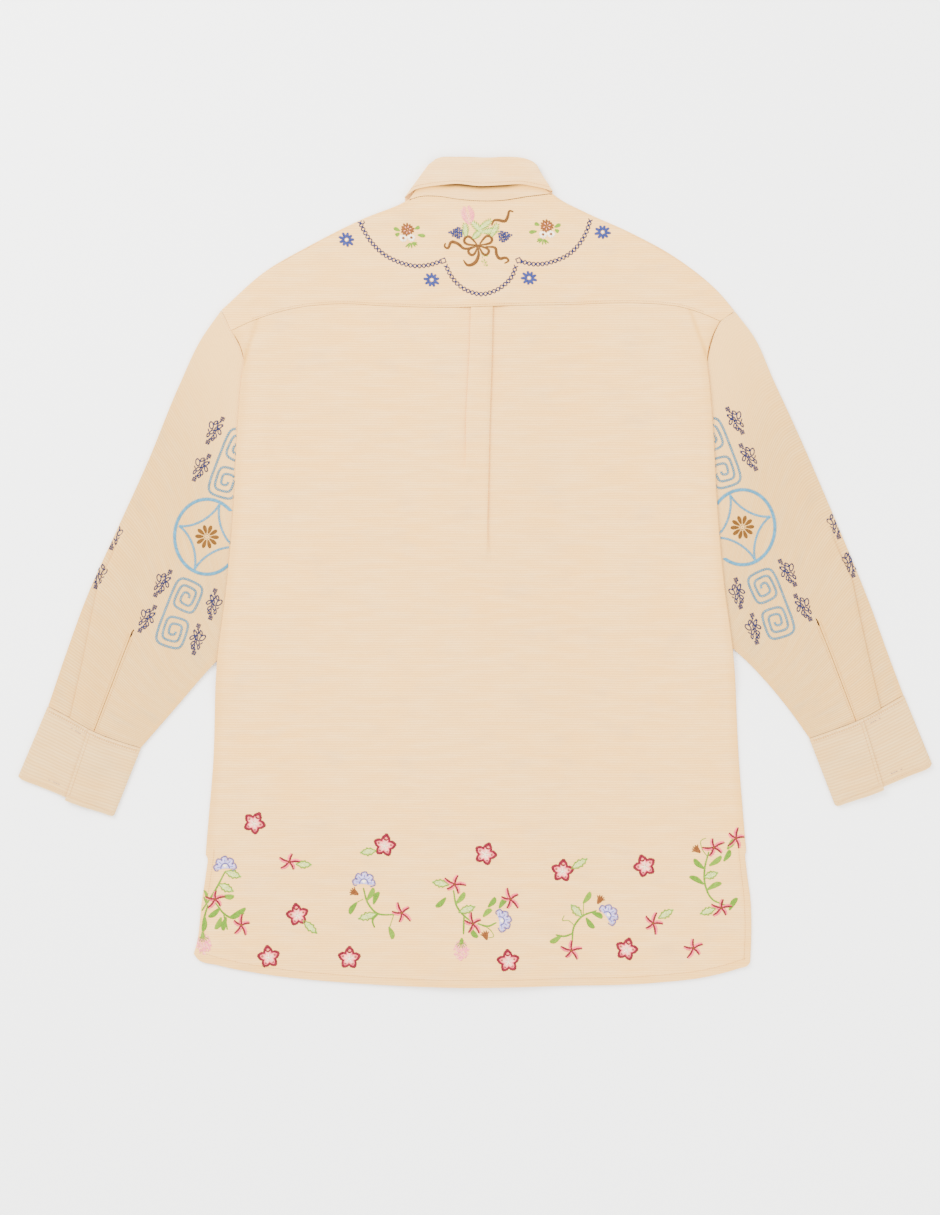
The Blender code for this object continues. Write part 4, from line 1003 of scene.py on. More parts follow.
# buttons
# pressed shell-like resin: smooth, slightly pearly
def buttonMaterial():
    made, tree, shader = startMaterial("pearl_resin", {"Roughness": 0.22, "IOR": 1.55,
                                                       "Coat Weight": 0.3})
    place = addNode(tree, "ShaderNodeTexCoord").outputs["Object"]
    cloud = addNode(tree, "ShaderNodeTexNoise", None, Vector=place, Scale=1.0 / (4.0 * mm))
    tone = addNode(tree, "ShaderNodeMix", {"data_type": "RGBA"}, i0=cloud.outputs["Fac"],
                   i6=linear("#E8E0D0"), i7=linear("#CFC4B4"))
    tree.links.new(tone.outputs[2], shader.inputs["Base Color"])
    return made


pearl = buttonMaterial()
buttons = [thing for node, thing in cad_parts.items() if node.startswith("button")]
for thing in buttons:
    thing.data.materials.clear()
    thing.data.materials.append(pearl)
print("buttons", len(buttons))

# embroidery threads, mercerised cotton, a soft gloss along each stitch
threads = {
    "navy": "#181C44", "daisyBlue": "#283064", "grapeBlue": "#262C58", "paleBlue": "#3C6A7C",
    "skyBlue": "#3F7890", "sprig": "#1D1E3E", "red": "#64081C", "pink": "#DD5560",
    "blush": "#EE9E8A", "palePink": "#E57480", "periwinkle": "#4A427E", "lilac": "#A69AC6",
    "green": "#648416", "stem": "#557A10", "paleGreen": "#6C8C26", "leafFill": "#B8BE6C",
    "rust": "#6E3C12", "ribbon": "#5E380C", "amber": "#623C08", "white": "#F2DCC0",
    "slitShadowBrown": "#2E1408", "sewing": "#C4924F", "ecru": "#EFCB92", "violetGrey": "#7E6470",
}


def threadMaterial(name, tone):
    made, tree, shader = startMaterial("cotton_thread_" + name, {
        "Roughness": 0.6, "IOR": 1.5, "Specular IOR Level": 0.14})
    place = addNode(tree, "ShaderNodeTexCoord").outputs["Object"]
    fibre = addNode(tree, "ShaderNodeTexNoise", None, Vector=place, Scale=1.0 / (0.4 * mm),
                    Detail=2.0)
    each = addNode(tree, "ShaderNodeAttribute", {"attribute_name": "tone"}).outputs["Fac"]
    light = (*(min(1.0, 1.2 * c + 0.003) for c in linear(tone)[:3]), 1.0)
    deep = (*(0.72 * c for c in linear(tone)[:3]), 1.0)
    colour = addNode(tree, "ShaderNodeMix", {"data_type": "RGBA"}, i0=each, i6=deep, i7=light)
    bump = addNode(tree, "ShaderNodeBump", None, Height=fibre.outputs["Fac"], Distance=0.12 * mm,
                   Strength=0.8)
    tree.links.new(colour.outputs[2], shader.inputs["Base Color"])
    tree.links.new(bump.outputs[0], shader.inputs["Normal"])
    return made


threadNames = list(threads)
threadMaterials = [threadMaterial(name, tone) for name, tone in threads.items()]


# one thread on each point, turned and sized by the point, then real meshes by colour
def stitchTree(name, settings):
    tree = bpy.data.node_groups.new(name, "GeometryNodeTree")
    for label, way, kind in (("Points", "INPUT", "Geometry"), ("Seed", "INPUT", "Int"),
                             ("Tone spread", "INPUT", "Float"), ("Stitches", "OUTPUT", "Geometry")):
        tree.interface.new_socket(label, in_out=way, socket_type="NodeSocket" + kind)
    start = addNode(tree, "NodeGroupInput").outputs
    turn, size = [addNode(tree, "GeometryNodeInputNamedAttribute", {"data_type": "FLOAT_VECTOR"},
                          Name=key) for key in ("turn", "size")]
    spin = addNode(tree, "FunctionNodeEulerToRotation", None, i0=turn.outputs[0])
    bead = addNode(tree, "GeometryNodeMeshUVSphere", None, Segments=settings["segments"],
                   Rings=settings["rings"], Radius=0.5)
    # the ball's poles lie along the stitch
    laidDown = addNode(tree, "GeometryNodeTransform", None, Geometry=bead.outputs[0],
                       Rotation=(0.0, math.pi / 2.0, 0.0))
    placed = addNode(tree, "GeometryNodeInstanceOnPoints", None, Points=start["Points"],
                     Instance=laidDown.outputs[0], Rotation=spin.outputs[0], Scale=size.outputs[0])
    high, low = [addNode(tree, "ShaderNodeMath", {"operation": key}, i0=0.5,
                         i1=start["Tone spread"]) for key in ("ADD", "SUBTRACT")]
    chance = addNode(tree, "FunctionNodeRandomValue", {"data_type": "FLOAT"}, i2=low.outputs[0],
                     i3=high.outputs[0], Seed=start["Seed"])
    toned = addNode(tree, "GeometryNodeStoreNamedAttribute",
                    {"data_type": "FLOAT", "domain": "INSTANCE"}, Geometry=placed.outputs[0],
                    Name="tone", Value=chance.outputs[1])
    real = addNode(tree, "GeometryNodeRealizeInstances", None, Geometry=toned.outputs[0])
    colour = addNode(tree, "GeometryNodeInputNamedAttribute", {"data_type": "INT"}, Name="thread")
    geometry = real.outputs[0]
    for number, material in enumerate(threadMaterials):
        same = addNode(tree, "FunctionNodeCompare", {"data_type": "INT", "operation": "EQUAL"},
                       i2=colour.outputs[0], i3=number)
        geometry = addNode(tree, "GeometryNodeSetMaterial", None, Geometry=geometry,
                           Selection=same.outputs[0], Material=material).outputs[0]
    addNode(tree, "NodeGroupOutput", None, Stitches=geometry)
    return tree


threadShape = {"segments": 6, "rings": 4, "toneSpread": 0.35, "sink": 0.12, "plump": 1.3}
threadTree = stitchTree("threads_on_points", threadShape)


# puts each stitch on the cloth it is sewn to, leaving out what another piece covers,
# and turns the whole list into one mesh
def sewn(name, work, ground, covers, seed):
    trees = []
    for piece in [*ground, *covers]:
        verts = [v.co for v in piece.data.vertices]
        trees.append(BVHTree.FromPolygons(verts, [p.vertices for p in piece.data.polygons]))
    centres, turns, sizes, colours = [], [], [], []
    for ax, ay, bx, by, width, thread, lift in work:
        ends = []
        for x, y in ((ax, ay), (bx, by)):
            hits = [tree.ray_cast(Vector((x * mm, y * mm, 0.2)), Vector((0.0, 0.0, -1.0)))[0]
                    for tree in trees]
            tops = [hit.z if hit else -1.0 for hit in hits]
            best = max(tops[:len(ground)])
            if best > 0.0 and max(tops) <= best:
                ends.append(Vector((x * mm, y * mm, best)))
        if len(ends) < 2:
            continue
        way = ends[1] - ends[0]
        width = width * threadShape["plump"]
        high = min(0.7 * width, 0.62)
        centre = 0.5 * (ends[0] + ends[1])
        centre.z += (threadShape["sink"] * high + lift) * mm
        centres.append(centre)
        turns.append((0.0, -math.asin(way.z / max(way.length, 1e-9)), math.atan2(way.y, way.x)))
        sizes.append((way.length * 1.08 + 0.15 * mm, width * mm, high * mm))
        colours.append(thread)
    mesh = bpy.data.meshes.new(name)
    mesh.from_pydata(centres, [], [])
    for key, kind, field, values in (("turn", "FLOAT_VECTOR", "vector", np.ravel(turns)),
                                     ("size", "FLOAT_VECTOR", "vector", np.ravel(sizes)),
                                     ("thread", "INT", "value", colours)):
        mesh.attributes.new(key, kind, "POINT").data.foreach_set(field, values)
    made = bpy.data.objects.new(name, mesh)
    scene.collection.objects.link(made)
    maker = made.modifiers.new("stitches", "NODES")
    maker.node_group = threadTree
    sockets = {item.name: item.identifier for item in threadTree.interface.items_tree}
    maker[sockets["Seed"]] = seed
    maker[sockets["Tone spread"]] = threadShape["toneSpread"]
    made = applied(made)
    made.data.shade_smooth()
    print("piece", name, len(centres), "stitches,", len(made.data.polygons), "faces")
    return made


# centre of a motif: a place in the 940 x 1215 photo, in mm
def at(px, py):
    return np.array([(px - 475.0) * 1.08, (572.5 - py) * 1.08])


def toward(angle):
    return np.array([math.cos(math.radians(angle)), math.sin(math.radians(angle))])


# a direction turned a quarter to the left
def quarterTurn(way):
    return np.array([-way[1], way[0]])


def sew(work, a, b, width, thread, lift=0.0):
    work.append((a[0], a[1], b[0], b[1], width, threadNames.index(thread), lift))


def resampled(points, step):
    p = np.array(points, float)
    along = np.concatenate([[0.0], np.cumsum(np.linalg.norm(np.diff(p, axis=0), axis=1))])
    s = np.linspace(0.0, along[-1], max(2, int(round(along[-1] / step)) + 1))
    return np.column_stack([np.interp(s, along, p[:, k]) for k in (0, 1)])


def smooth(points, count=60):
    return spline(points, np.linspace(0.0, 1.0, count))


# stem stitch: each stitch overlaps the next; widths at the ends and in the middle
def stemLine(work, points, thread, ends=0.9, middle=None, stitch=2.2, lift=0.0):
    p = resampled(points, stitch)
    middle = ends if middle is None else middle
    for k, (a, b) in enumerate(zip(p[:-1], p[1:])):
        share = math.sin(math.pi * (k + 0.5) / (len(p) - 1))
        over = 0.25 * (b - a)
        sew(work, a - over, b + over, ends + (middle - ends) * share, thread, lift)


# fishbone satin: a solid leaf or petal from base to tip
def satinLeaf(work, base, tip, half, thread, bend=0.0, step=0.85, lift=0.0):
    base, tip = np.array(base, float), np.array(tip, float)
    axis = tip - base
    length = np.linalg.norm(axis)
    axis = axis / length
    side = quarterTurn(axis)
    count = max(3, int(length / step))
    for k in range(count):
        t = (k + 0.5) / count
        middle = base + axis * length * t + side * bend * math.sin(math.pi * t)
        wide = half * math.sin(math.pi * (0.06 + 0.88 * t)) ** 0.8
        for hand in (-1.0, 1.0):
            inner = middle - axis * 0.3 * wide - side * hand * 0.1 * wide
            outer = middle + axis * 0.7 * wide + side * hand * wide
            sew(work, inner, outer, 1.15 * step, thread, lift)


# holly-like leaf drawn in thin lines
def jaggedLeaf(work, base, tip, half, thread):
    base, tip = np.array(base, float), np.array(tip, float)
    axis = tip - base
    side = quarterTurn(axis) / np.linalg.norm(axis)
    for hand in (-1.0, 1.0):
        edge = []
        for k in range(10):
            t = k / 9.0
            wide = half * math.sin(math.pi * t) * (1.0 if k % 2 else 0.5)
            edge.append(base + axis * (t - 0.05 * (k % 2 == 0)) + side * hand * wide)
        stemLine(work, edge, thread, 1.25, stitch=1.9, lift=0.15)
    satinLeaf(work, base, tip, 0.6 * half, "leafFill", step=1.4)
    for t in (0.25, 0.45, 0.65):
        root = base + axis * t
        sew(work, root, root + axis * 0.14 + side * 0.45 * half, 0.7, thread)
        sew(work, root, root + axis * 0.14 - side * 0.45 * half, 0.7, thread)


def around(centre, radius, start=0.0, stop=360.0, count=40, tall=1.0, turn=0.0):
    angles = np.radians(np.linspace(start, stop, count))
    x, y = radius * np.cos(angles), radius * tall * np.sin(angles)
    c, s = math.cos(math.radians(turn)), math.sin(math.radians(turn))
    return np.column_stack([centre[0] + c * x - s * y, centre[1] + s * x + c * y])


# five ragged lobes in a thick outline, a pink line inside, a ring dot in each lobe
def lobedFlower(work, place, turn, radius):
    c = at(*place)
    angles = np.radians(np.arange(0.0, 360.0, 5.0))
    local = (angles + math.pi / 5.0) % (0.4 * math.pi) - 0.2 * math.pi
    pointed = (1.0 - np.abs(local) / (0.2 * math.pi)) ** 1.2
    lobes = 0.46 + 0.32 * np.abs(np.cos(2.5 * local)) ** 0.5 + 0.27 * pointed
    lobes = lobes * (1.0 + 0.06 * np.cos(17.5 * local)) * (1.0 + 0.08 * np.cos(angles))
    angles = angles + math.radians(turn)
    shape = np.column_stack([np.cos(angles), np.sin(angles)]) * (radius * lobes)[:, None]
    shape = np.concatenate([shape, shape[:1]])
    for k in range(20):
        way = toward(turn + k * 18.0)
        far = 0.66 if k % 4 in (0, 3, 1) else 0.4
        sew(work, c + way * 0.15 * radius, c + way * far * radius, 1.7, "blush")
    stemLine(work, c + 0.72 * shape, "pink", 1.1, stitch=1.8, lift=0.1)
    stemLine(work, c + 0.93 * shape, "red", 2.75, stitch=2.1, lift=0.12)
    for k in range(5):
        way = toward(turn + 72.0 * k)
        stemLine(work, around(c + way * 0.58 * radius, 0.9, count=7), "red", 0.6, stitch=1.4,
                 lift=0.2)
        sew(work, c, c + way * 0.36 * radius, 0.8, "white", 0.25)
    curl = c + toward(turn) * 0.72 * radius
    stemLine(work, around(curl, 2.2, turn, turn + 250.0, 10), "red", 1.3, stitch=1.8, lift=0.3)


# five thin petals, each a pink side and a red rib, an orange knot in the middle
def starFlower(work, place, turn, radius):
    c = at(*place)
    for k in range(5):
        way = toward(turn + 72.0 * k + 6.0 * math.sin(3.0 * k + turn))
        side = quarterTurn(way)
        reachOut = radius * (0.9 + 0.14 * math.sin(2.2 * k + turn))
        rib = smooth([c + way * 0.6, c + way * 0.55 * reachOut + side * 0.5,
                      c + way * reachOut - side * 0.5], 12)
        stemLine(work, rib + side * 1.3, "pink", 1.1, 3.0, stitch=2.2)
        stemLine(work, rib - side * 0.2, "red", 1.2, 2.2, stitch=2.3, lift=0.15)
    for k in range(3):
        way = toward(60.0 * k) * 1.2
        sew(work, c - way, c + way, 1.2, "amber", 0.35)


# scalloped cloud: lobes round an arch, outlined, filled with paler satin
def cloudFlower(work, place, turn, size):
    c = at(*place)
    for angle, out in ((-2.0, 0.78), (42.0, 0.72), (90.0, 0.7), (138.0, 0.72), (182.0, 0.78)):
        way = toward(turn + angle)
        lobe = c + way * size * out
        for spread in (-26.0, -13.0, 0.0, 13.0, 26.0):
            ray = toward(turn + angle + spread)
            sew(work, c + ray * 0.36 * size, lobe + ray * 0.24 * size, 2.0, "lilac")
        rim = around(lobe, 0.34 * size, turn + angle - 105.0, turn + angle + 105.0, 14)
        bumps = 1.0 + 0.09 * np.cos(np.linspace(0.0, 5.0 * math.pi, 14))
        stemLine(work, lobe + (rim - lobe) * bumps[:, None], "periwinkle", 1.15, stitch=1.7,
                 lift=0.2)
        stemLine(work, [c + way * 0.5 * size, lobe], "periwinkle", 0.7, stitch=1.8, lift=0.2)
    low = c - toward(turn + 90.0) * 0.1 * size
    for k in range(7):
        ray = toward(turn + 180.0 * k / 6.0)
        sew(work, low, low + ray * 0.38 * size, 1.9, "white" if k in (2, 3, 4) else "lilac", 0.1)
    stemLine(work, around(low, 0.42 * size, turn - 5.0, turn + 185.0, 14), "periwinkle", 1.15,
             stitch=1.8, lift=0.25)


# a short bud with five spikes
def crownBud(work, place, turn, size):
    c = at(*place)
    satinLeaf(work, c - toward(turn) * 0.75 * size, c + toward(turn) * 2.5, 0.5 * size, "rust")
    for spread in (-55.0, -28.0, 0.0, 28.0, 55.0):
        way = toward(turn + spread)
        sew(work, c + way * 0.5, c + way * size, 1.5, "rust", 0.15)


# loose dashes in an egg shape under spiky sepals
def pinkCone(work, place, turn, seed, stitches, tall, wide):
    chance = np.random.default_rng(seed)
    c = at(*place)
    along, side = toward(turn), toward(turn + 90.0)
    for number in range(stitches):
        r, a = math.sqrt(chance.random()), 2.0 * math.pi * chance.random()
        p = c + along * tall * r * math.cos(a) + side * wide * r * math.sin(a)
        way = toward(turn + chance.uniform(-50.0, 50.0)) * chance.uniform(0.8, 1.6)
        sew(work, p - way, p + way, 1.1, "palePink" if chance.random() < 0.7 else "blush")
    top = c + along * 9.5
    for spread in (-60.0, -38.0, -16.0, 8.0, 30.0, 54.0):
        way = toward(turn + 180.0 + spread)
        stemLine(work, [top, top + way * 6.5], "green", 0.8, stitch=2.6, lift=0.3)
    satinLeaf(work, top + along * 4.0, top - along * 1.5, 2.6, "green", lift=0.1)


# hem: sizes in mm, then (place, turn) of each motif
hemSizes = {"lobed": 11.8, "stars": 11.8, "clouds": 11.0, "buds": 6.0, "cones": (150, 10.5, 8.0),
            "solidLeaf": 2.9, "sprayLeaf": 5.0, "looseLeaf": 4.8, "stem": (1.5, 2.1),
            "tendril": 0.9}
hemMotifs = {
    "lobed": (((254.2, 823.4), 62), ((384.7, 845.8), 80), ((297.7, 915.2), 100),
              ((269, 957.3), 98), ((349.3, 958.3), 88), ((485.2, 854), 70),
              ((508.2, 961), 95), ((562.2, 871.2), 84), ((644.8, 866.4), 110),
              ((626.3, 949.7), 76)),
    "stars": (((289.6, 861.7), 80), ((215.4, 899), 92), ((241.6, 924.8), 84),
              ((401.9, 912.7), 108), ((454.6, 883.7), 75), ((473, 923), 96),
              ((510.4, 898.6), 102), ((571.2, 950.2), 88), ((653, 923), 70),
              ((693.2, 947.8), 98), ((721, 907.6), 86), ((713.7, 847.3), 106),
              ((735.7, 838), 78)),
    "clouds": (((225.3, 866.5), 4), ((364, 882), -4), ((500.9, 920), -80),
               ((607.5, 915), -55)),
    "buds": (((355, 892.3), 150), ((485.6, 935.3), 110), ((599.5, 900), 60),
             ((697, 849.8), 140)),
    "cones": (((203.9, 944), 95), ((461.3, 949.7), 88)),
    # outline leaves beside single flowers: base and tip
    "loose": (((375.5, 850.5), (360.5, 852.5)), ((304, 921), (317, 933)),
              ((572, 868), (587, 858.5)), ((297, 864), (311.5, 864.5)),
              ((448, 884), (432.5, 881.5)), ((659, 917.5), (673, 909.5)),
              ((714.5, 908.5), (700, 913.5))),
}
# stems as points, then solid leaves, outline leaves and tendrils
hemSprays = (
    {"stems": (((225, 872), (216, 889), (201, 912)),
               ((216, 903), (225, 914), (233, 918), (244, 913)),
               ((224, 914), (227.5, 929)), ((208, 905), (203, 922))),
     "solid": (((222.5, 895.5), (234, 896)), ((220.5, 907.5), (209, 916.5)),
               ((230, 917), (245.5, 908)), ((221.5, 917), (215.5, 928.5)),
               ((226.5, 917), (223.5, 930)), ((205, 916), (203, 931)),
               ((206.5, 903), (203.5, 890))),
     "outline": (((226, 871.5), (241, 876.5)), ((219.5, 884), (233.5, 891))),
     "tendrils": ()},
    {"stems": (((363.5, 888), (368, 903), (377, 913), (394, 914.5)),
               ((378, 914), (372.5, 920), (374.5, 927))),
     "solid": (((367, 900), (373.5, 888)), ((373.5, 904), (379, 892)),
               ((357, 902), (350, 913.5)), ((389, 926.5), (392.5, 938.5))),
     "outline": (((376, 913.5), (358.5, 918.5)),),
     "tendrils": (((363, 899), (357, 902)), ((394, 914), (390, 926)))},
    {"stems": (((453.5, 890), (457, 906), (464, 915), (473, 922)),
               ((464, 915), (463.5, 933)), ((478, 923), (488, 925.5), (496, 922))),
     "solid": (((456, 903), (464.5, 892)), ((446, 897), (436, 906)),
               ((470, 927), (477.5, 936.5)), ((483, 916), (491.5, 909)),
               ((488, 906.5), (495, 897)), ((499, 907.5), (507, 898))),
     "outline": (((459.5, 911.5), (475, 906)),),
     "tendrils": (((486, 926), (491, 930), (493.5, 936), (489, 937)),)},
    {"stems": (((572, 942), (574, 926), (582, 916), (596, 910.5)),
               ((572.5, 933), (564, 936), (556, 934.5))),
     "solid": (((583, 903), (590, 892)), ((592, 912.5), (602, 917.5)),
               ((586, 917.5), (594, 927.5)), ((561, 935.5), (550, 941.5))),
     "outline": (((581.5, 916), (571, 904.5)),),
     "tendrils": (((574, 925), (568, 920), (562, 920), (564, 915.5)),
                  ((583, 915), (583.5, 903)))},
    {"stems": (((725, 905), (712, 899), (705, 885), (704.5, 868), (708.5, 852)),),
     "solid": (((709, 865.5), (721, 856)), ((704, 868.5), (694, 859)),
               ((703.5, 884), (689.5, 876.5)), ((707, 889.5), (721, 883)),
               ((723.5, 861), (729.5, 850)), ((729, 910), (737, 898)),
               ((727, 849), (733, 839))),
     "outline": (((704.5, 877), (717.5, 872.5)),),
     "tendrils": (((707, 856), (702, 849), (701, 840), (705.5, 838)),)},
)


def hemWork():
    work = []
    for spray in hemSprays:
        for stem in spray["stems"]:
            stemLine(work, smooth([at(*p) for p in stem], 24), "stem", *hemSizes["stem"],
                     stitch=2.4)
        for tendril in spray["tendrils"]:
            stemLine(work, smooth([at(*p) for p in tendril], 16), "green", hemSizes["tendril"],
                     stitch=2.0)
        for number, (base, tip) in enumerate(spray["solid"]):
            satinLeaf(work, at(*base), at(*tip), hemSizes["solidLeaf"],
                      "stem" if number % 3 else "green", bend=1.0 if number % 2 else -1.0)
        for base, tip in spray["outline"]:
            jaggedLeaf(work, at(*base), at(*tip), hemSizes["sprayLeaf"], "green")
    for base, tip in hemMotifs["loose"]:
        jaggedLeaf(work, at(*base), at(*tip), hemSizes["looseLeaf"], "green")
    for kind, draw in (("lobed", lobedFlower), ("stars", starFlower), ("clouds", cloudFlower),
                       ("buds", crownBud)):
        for place, turn in hemMotifs[kind]:
            draw(work, place, turn, hemSizes[kind])
    for seed, (place, turn) in enumerate(hemMotifs["cones"]):
        pinkCone(work, place, turn, seed + 3, *hemSizes["cones"])
    return work


# yoke: sizes in mm, then two crossing zigzags along each scallop
yokeSizes = {"pitch": 4.8, "half": 2.5, "corner": 3.3, "daisy": 9.0, "petals": 9, "petal": 2.7,
             "blossom": 4.9, "leaf": 2.0, "bladeWidth": 1.6}
yokeScallops = (
    ((359.5, 221.5), (364, 231), (371.5, 242.5), (383, 254), (397.5, 262),
     (413.5, 266.4), (429, 265.6), (441, 262)),
    ((445.5, 265.5), (452, 278), (459.5, 286.5), (470, 292.8), (482, 295.2),
     (493.5, 292.4), (505, 285), (512, 277), (516, 266)),
    ((520.5, 262), (533, 264.8), (545, 264.2), (556.5, 260.8), (566, 256.6),
     (577.5, 246.5), (585.5, 234), (590.5, 219.5)),
)
yokeCorners = ((443.4, 261.4), (518.4, 261), (361.8, 222))
yokeDaisies = ((346.7, 240), (431.8, 280.5), (529, 278.6), (602.6, 232.5))
yokeBlades = (((466, 239), (465, 225)), ((484, 234.5), (472, 223)),
              ((478, 231), (490.5, 221.5)), ((480, 233), (497.5, 231)),
              ((490, 239), (497, 225.5)), ((472, 240), (480, 232.5)))
# bow: length, width and turn of each loop, then the free ends as points with their widths
bowLoops = ((16.5, 8.4, 153), (16.5, 8.4, 31), (13, 7.6, 223), (13.6, 7.4, 321))
bowEnds = (
    (((474, 247.5), (464.5, 249.5), (457, 244), (451.5, 242.6), (447.5, 249.2),
      (444.5, 247), (445.5, 244)), (1.4, 3.3)),
    (((486, 247.5), (495.5, 249), (496.5, 255.5), (499.5, 259.5), (506, 258.5),
      (508.6, 261.4), (504.5, 264)), (1.4, 3.3)),
    (((478, 248.5), (478.5, 256), (474.5, 264), (467.5, 266), (463.5, 261)), (1.2, 3.8)),
    (((491.6, 226), (494, 221.2), (499.5, 221.2), (505, 222), (507.8, 217),
      (509.5, 211.5), (513, 212.5)), (1.4, 3.3)),
)


# unit directions to the left of a line, one at each of its points
def leftOf(p):
    way = np.gradient(p, axis=0)
    way = way / np.linalg.norm(way, axis=1)[:, None]
    return np.column_stack([-way[:, 1], way[:, 0]])


def zigzagChain(work, points, thread):
    p = resampled(points, yokeSizes["pitch"])
    side = leftOf(p) * yokeSizes["half"]
    for hand in (-1.0, 1.0):
        line = [q + n * hand * (1.0 if k % 2 else -1.0) for k, (q, n) in enumerate(zip(p, side))]
        for a, b in zip(line[:-1], line[1:]):
            sew(work, a, b, 1.45, thread, 0.05)


def daisy(work, c, radius, petals, thread, wide, inner, turn=0.0, tall=1.0):
    for k in range(petals):
        way = toward(turn + 360.0 * k / petals) * np.array([1.0, tall])
        side = quarterTurn(way)
        for off in (-0.5, 0.5):
            sew(work, c + way * inner + side * off * wide * 0.5,
                c + way * radius * (0.92 + 0.1 * math.sin(5.0 * k)) + side * off * wide * 0.35,
                0.72 * wide, thread)


# an orange flower over two white blossoms with green leaves and blades
def bouquet(work, place, hand):
    c = at(*place)
    flower = c + np.array([0.0, 4.6])
    daisy(work, flower, 8.4, 13, "rust", 2.2, 2.0, 10.0, 0.9)
    daisy(work, flower, 5.0, 9, "rust", 1.7, 0.4, 30.0)
    for angle in (20.0, 75.0, 130.0, 200.0, 260.0, 320.0):
        way = toward(angle)
        sew(work, flower + way * 2.0, flower + way * 4.4, 0.7, "blush", 0.3)
    for dx in (-4.4 * hand, 4.2 * hand):
        blossom = c + np.array([dx, -4.4 + 0.5 * (dx > 0)])
        daisy(work, blossom, yokeSizes["blossom"], 11, "white", 1.7, 0.8, 0.0, 0.85)
        for way in (toward(20.0), toward(110.0)):
            sew(work, blossom - way * 1.3, blossom + way * 1.3, 2.2, "rust", 0.7)
    for base, tip in (((-8.0, 3.5), (-14.5, 6.5)), ((-8.5, 1.0), (-12.5, -1.5)),
                      ((8.0, 5.5), (13.0, 7.5)), ((11.0, -1.0), (19.0, -2.2))):
        satinLeaf(work, c + np.array(base) * (hand, 1.0), c + np.array(tip) * (hand, 1.0),
                  yokeSizes["leaf"], "green")
    root = c + np.array([4.0 * hand, -9.0])
    for dx, dy in ((-6.0, -5.0), (-3.2, -6.2), (0.8, -6.4), (4.6, -4.6), (7.0, -3.2), (6.6, -0.6)):
        sew(work, root + (0.2 * dx * hand, 0.1 * dy), root + (dx * hand, dy),
            yokeSizes["bladeWidth"], "green")


# a ribbon in satin: thin at its ends, thick in the middle
def ribbonLine(work, points, ends, middle):
    stemLine(work, smooth(points, 70), "ribbon", ends, middle, stitch=1.5, lift=0.1)


def bowLoop(c, length, wide, turn):
    t = np.linspace(0.03, 0.97, 24)
    along, across = toward(turn), toward(turn + 90.0)
    reachOut = length * np.sin(math.pi * t) ** 0.8
    off = -0.5 * wide * np.sin(2.0 * math.pi * t)
    return c + along * reachOut[:, None] + across * off[:, None]


# rows of open V stitches from base to tip
def openChevrons(work, base, tip, half, thread, rows, width):
    base, tip = np.array(base, float), np.array(tip, float)
    axis = tip - base
    side = quarterTurn(axis) / np.linalg.norm(axis)
    for k in range(rows):
        t = (k + 0.5) / rows
        wide = half * math.sin(math.pi * (0.12 + 0.76 * t))
        root = base + axis * t
        for hand in (-1.0, 1.0):
            sew(work, root, root + axis * (0.9 / rows) + side * hand * wide, width, thread)
            sew(work, root + axis * 0.06 + side * hand * 0.3 * wide,
                root + axis * (0.06 + 0.9 / rows) + side * hand * wide * 1.1, width, thread)


def grapeCluster(work, c, turn, seed):
    chance = np.random.default_rng(seed)
    along, side = toward(turn), toward(turn + 90.0)
    for k, count in enumerate((4, 6, 6, 5, 4, 2, 1)):
        for n in range(count):
            p = c + along * (-6.6 + 2.2 * k) + side * (n - 0.5 * (count - 1)) * 2.1
            p = p + chance.uniform(-0.35, 0.35, 2)
            tilt = chance.uniform(0.0, 90.0)
            for angle in (tilt, tilt + 60.0, tilt + 120.0):
                way = toward(angle) * 1.2
                tone = "grapeBlue" if chance.random() < 0.75 else "navy"
                sew(work, p - way, p + way, 1.25, tone, 0.1)


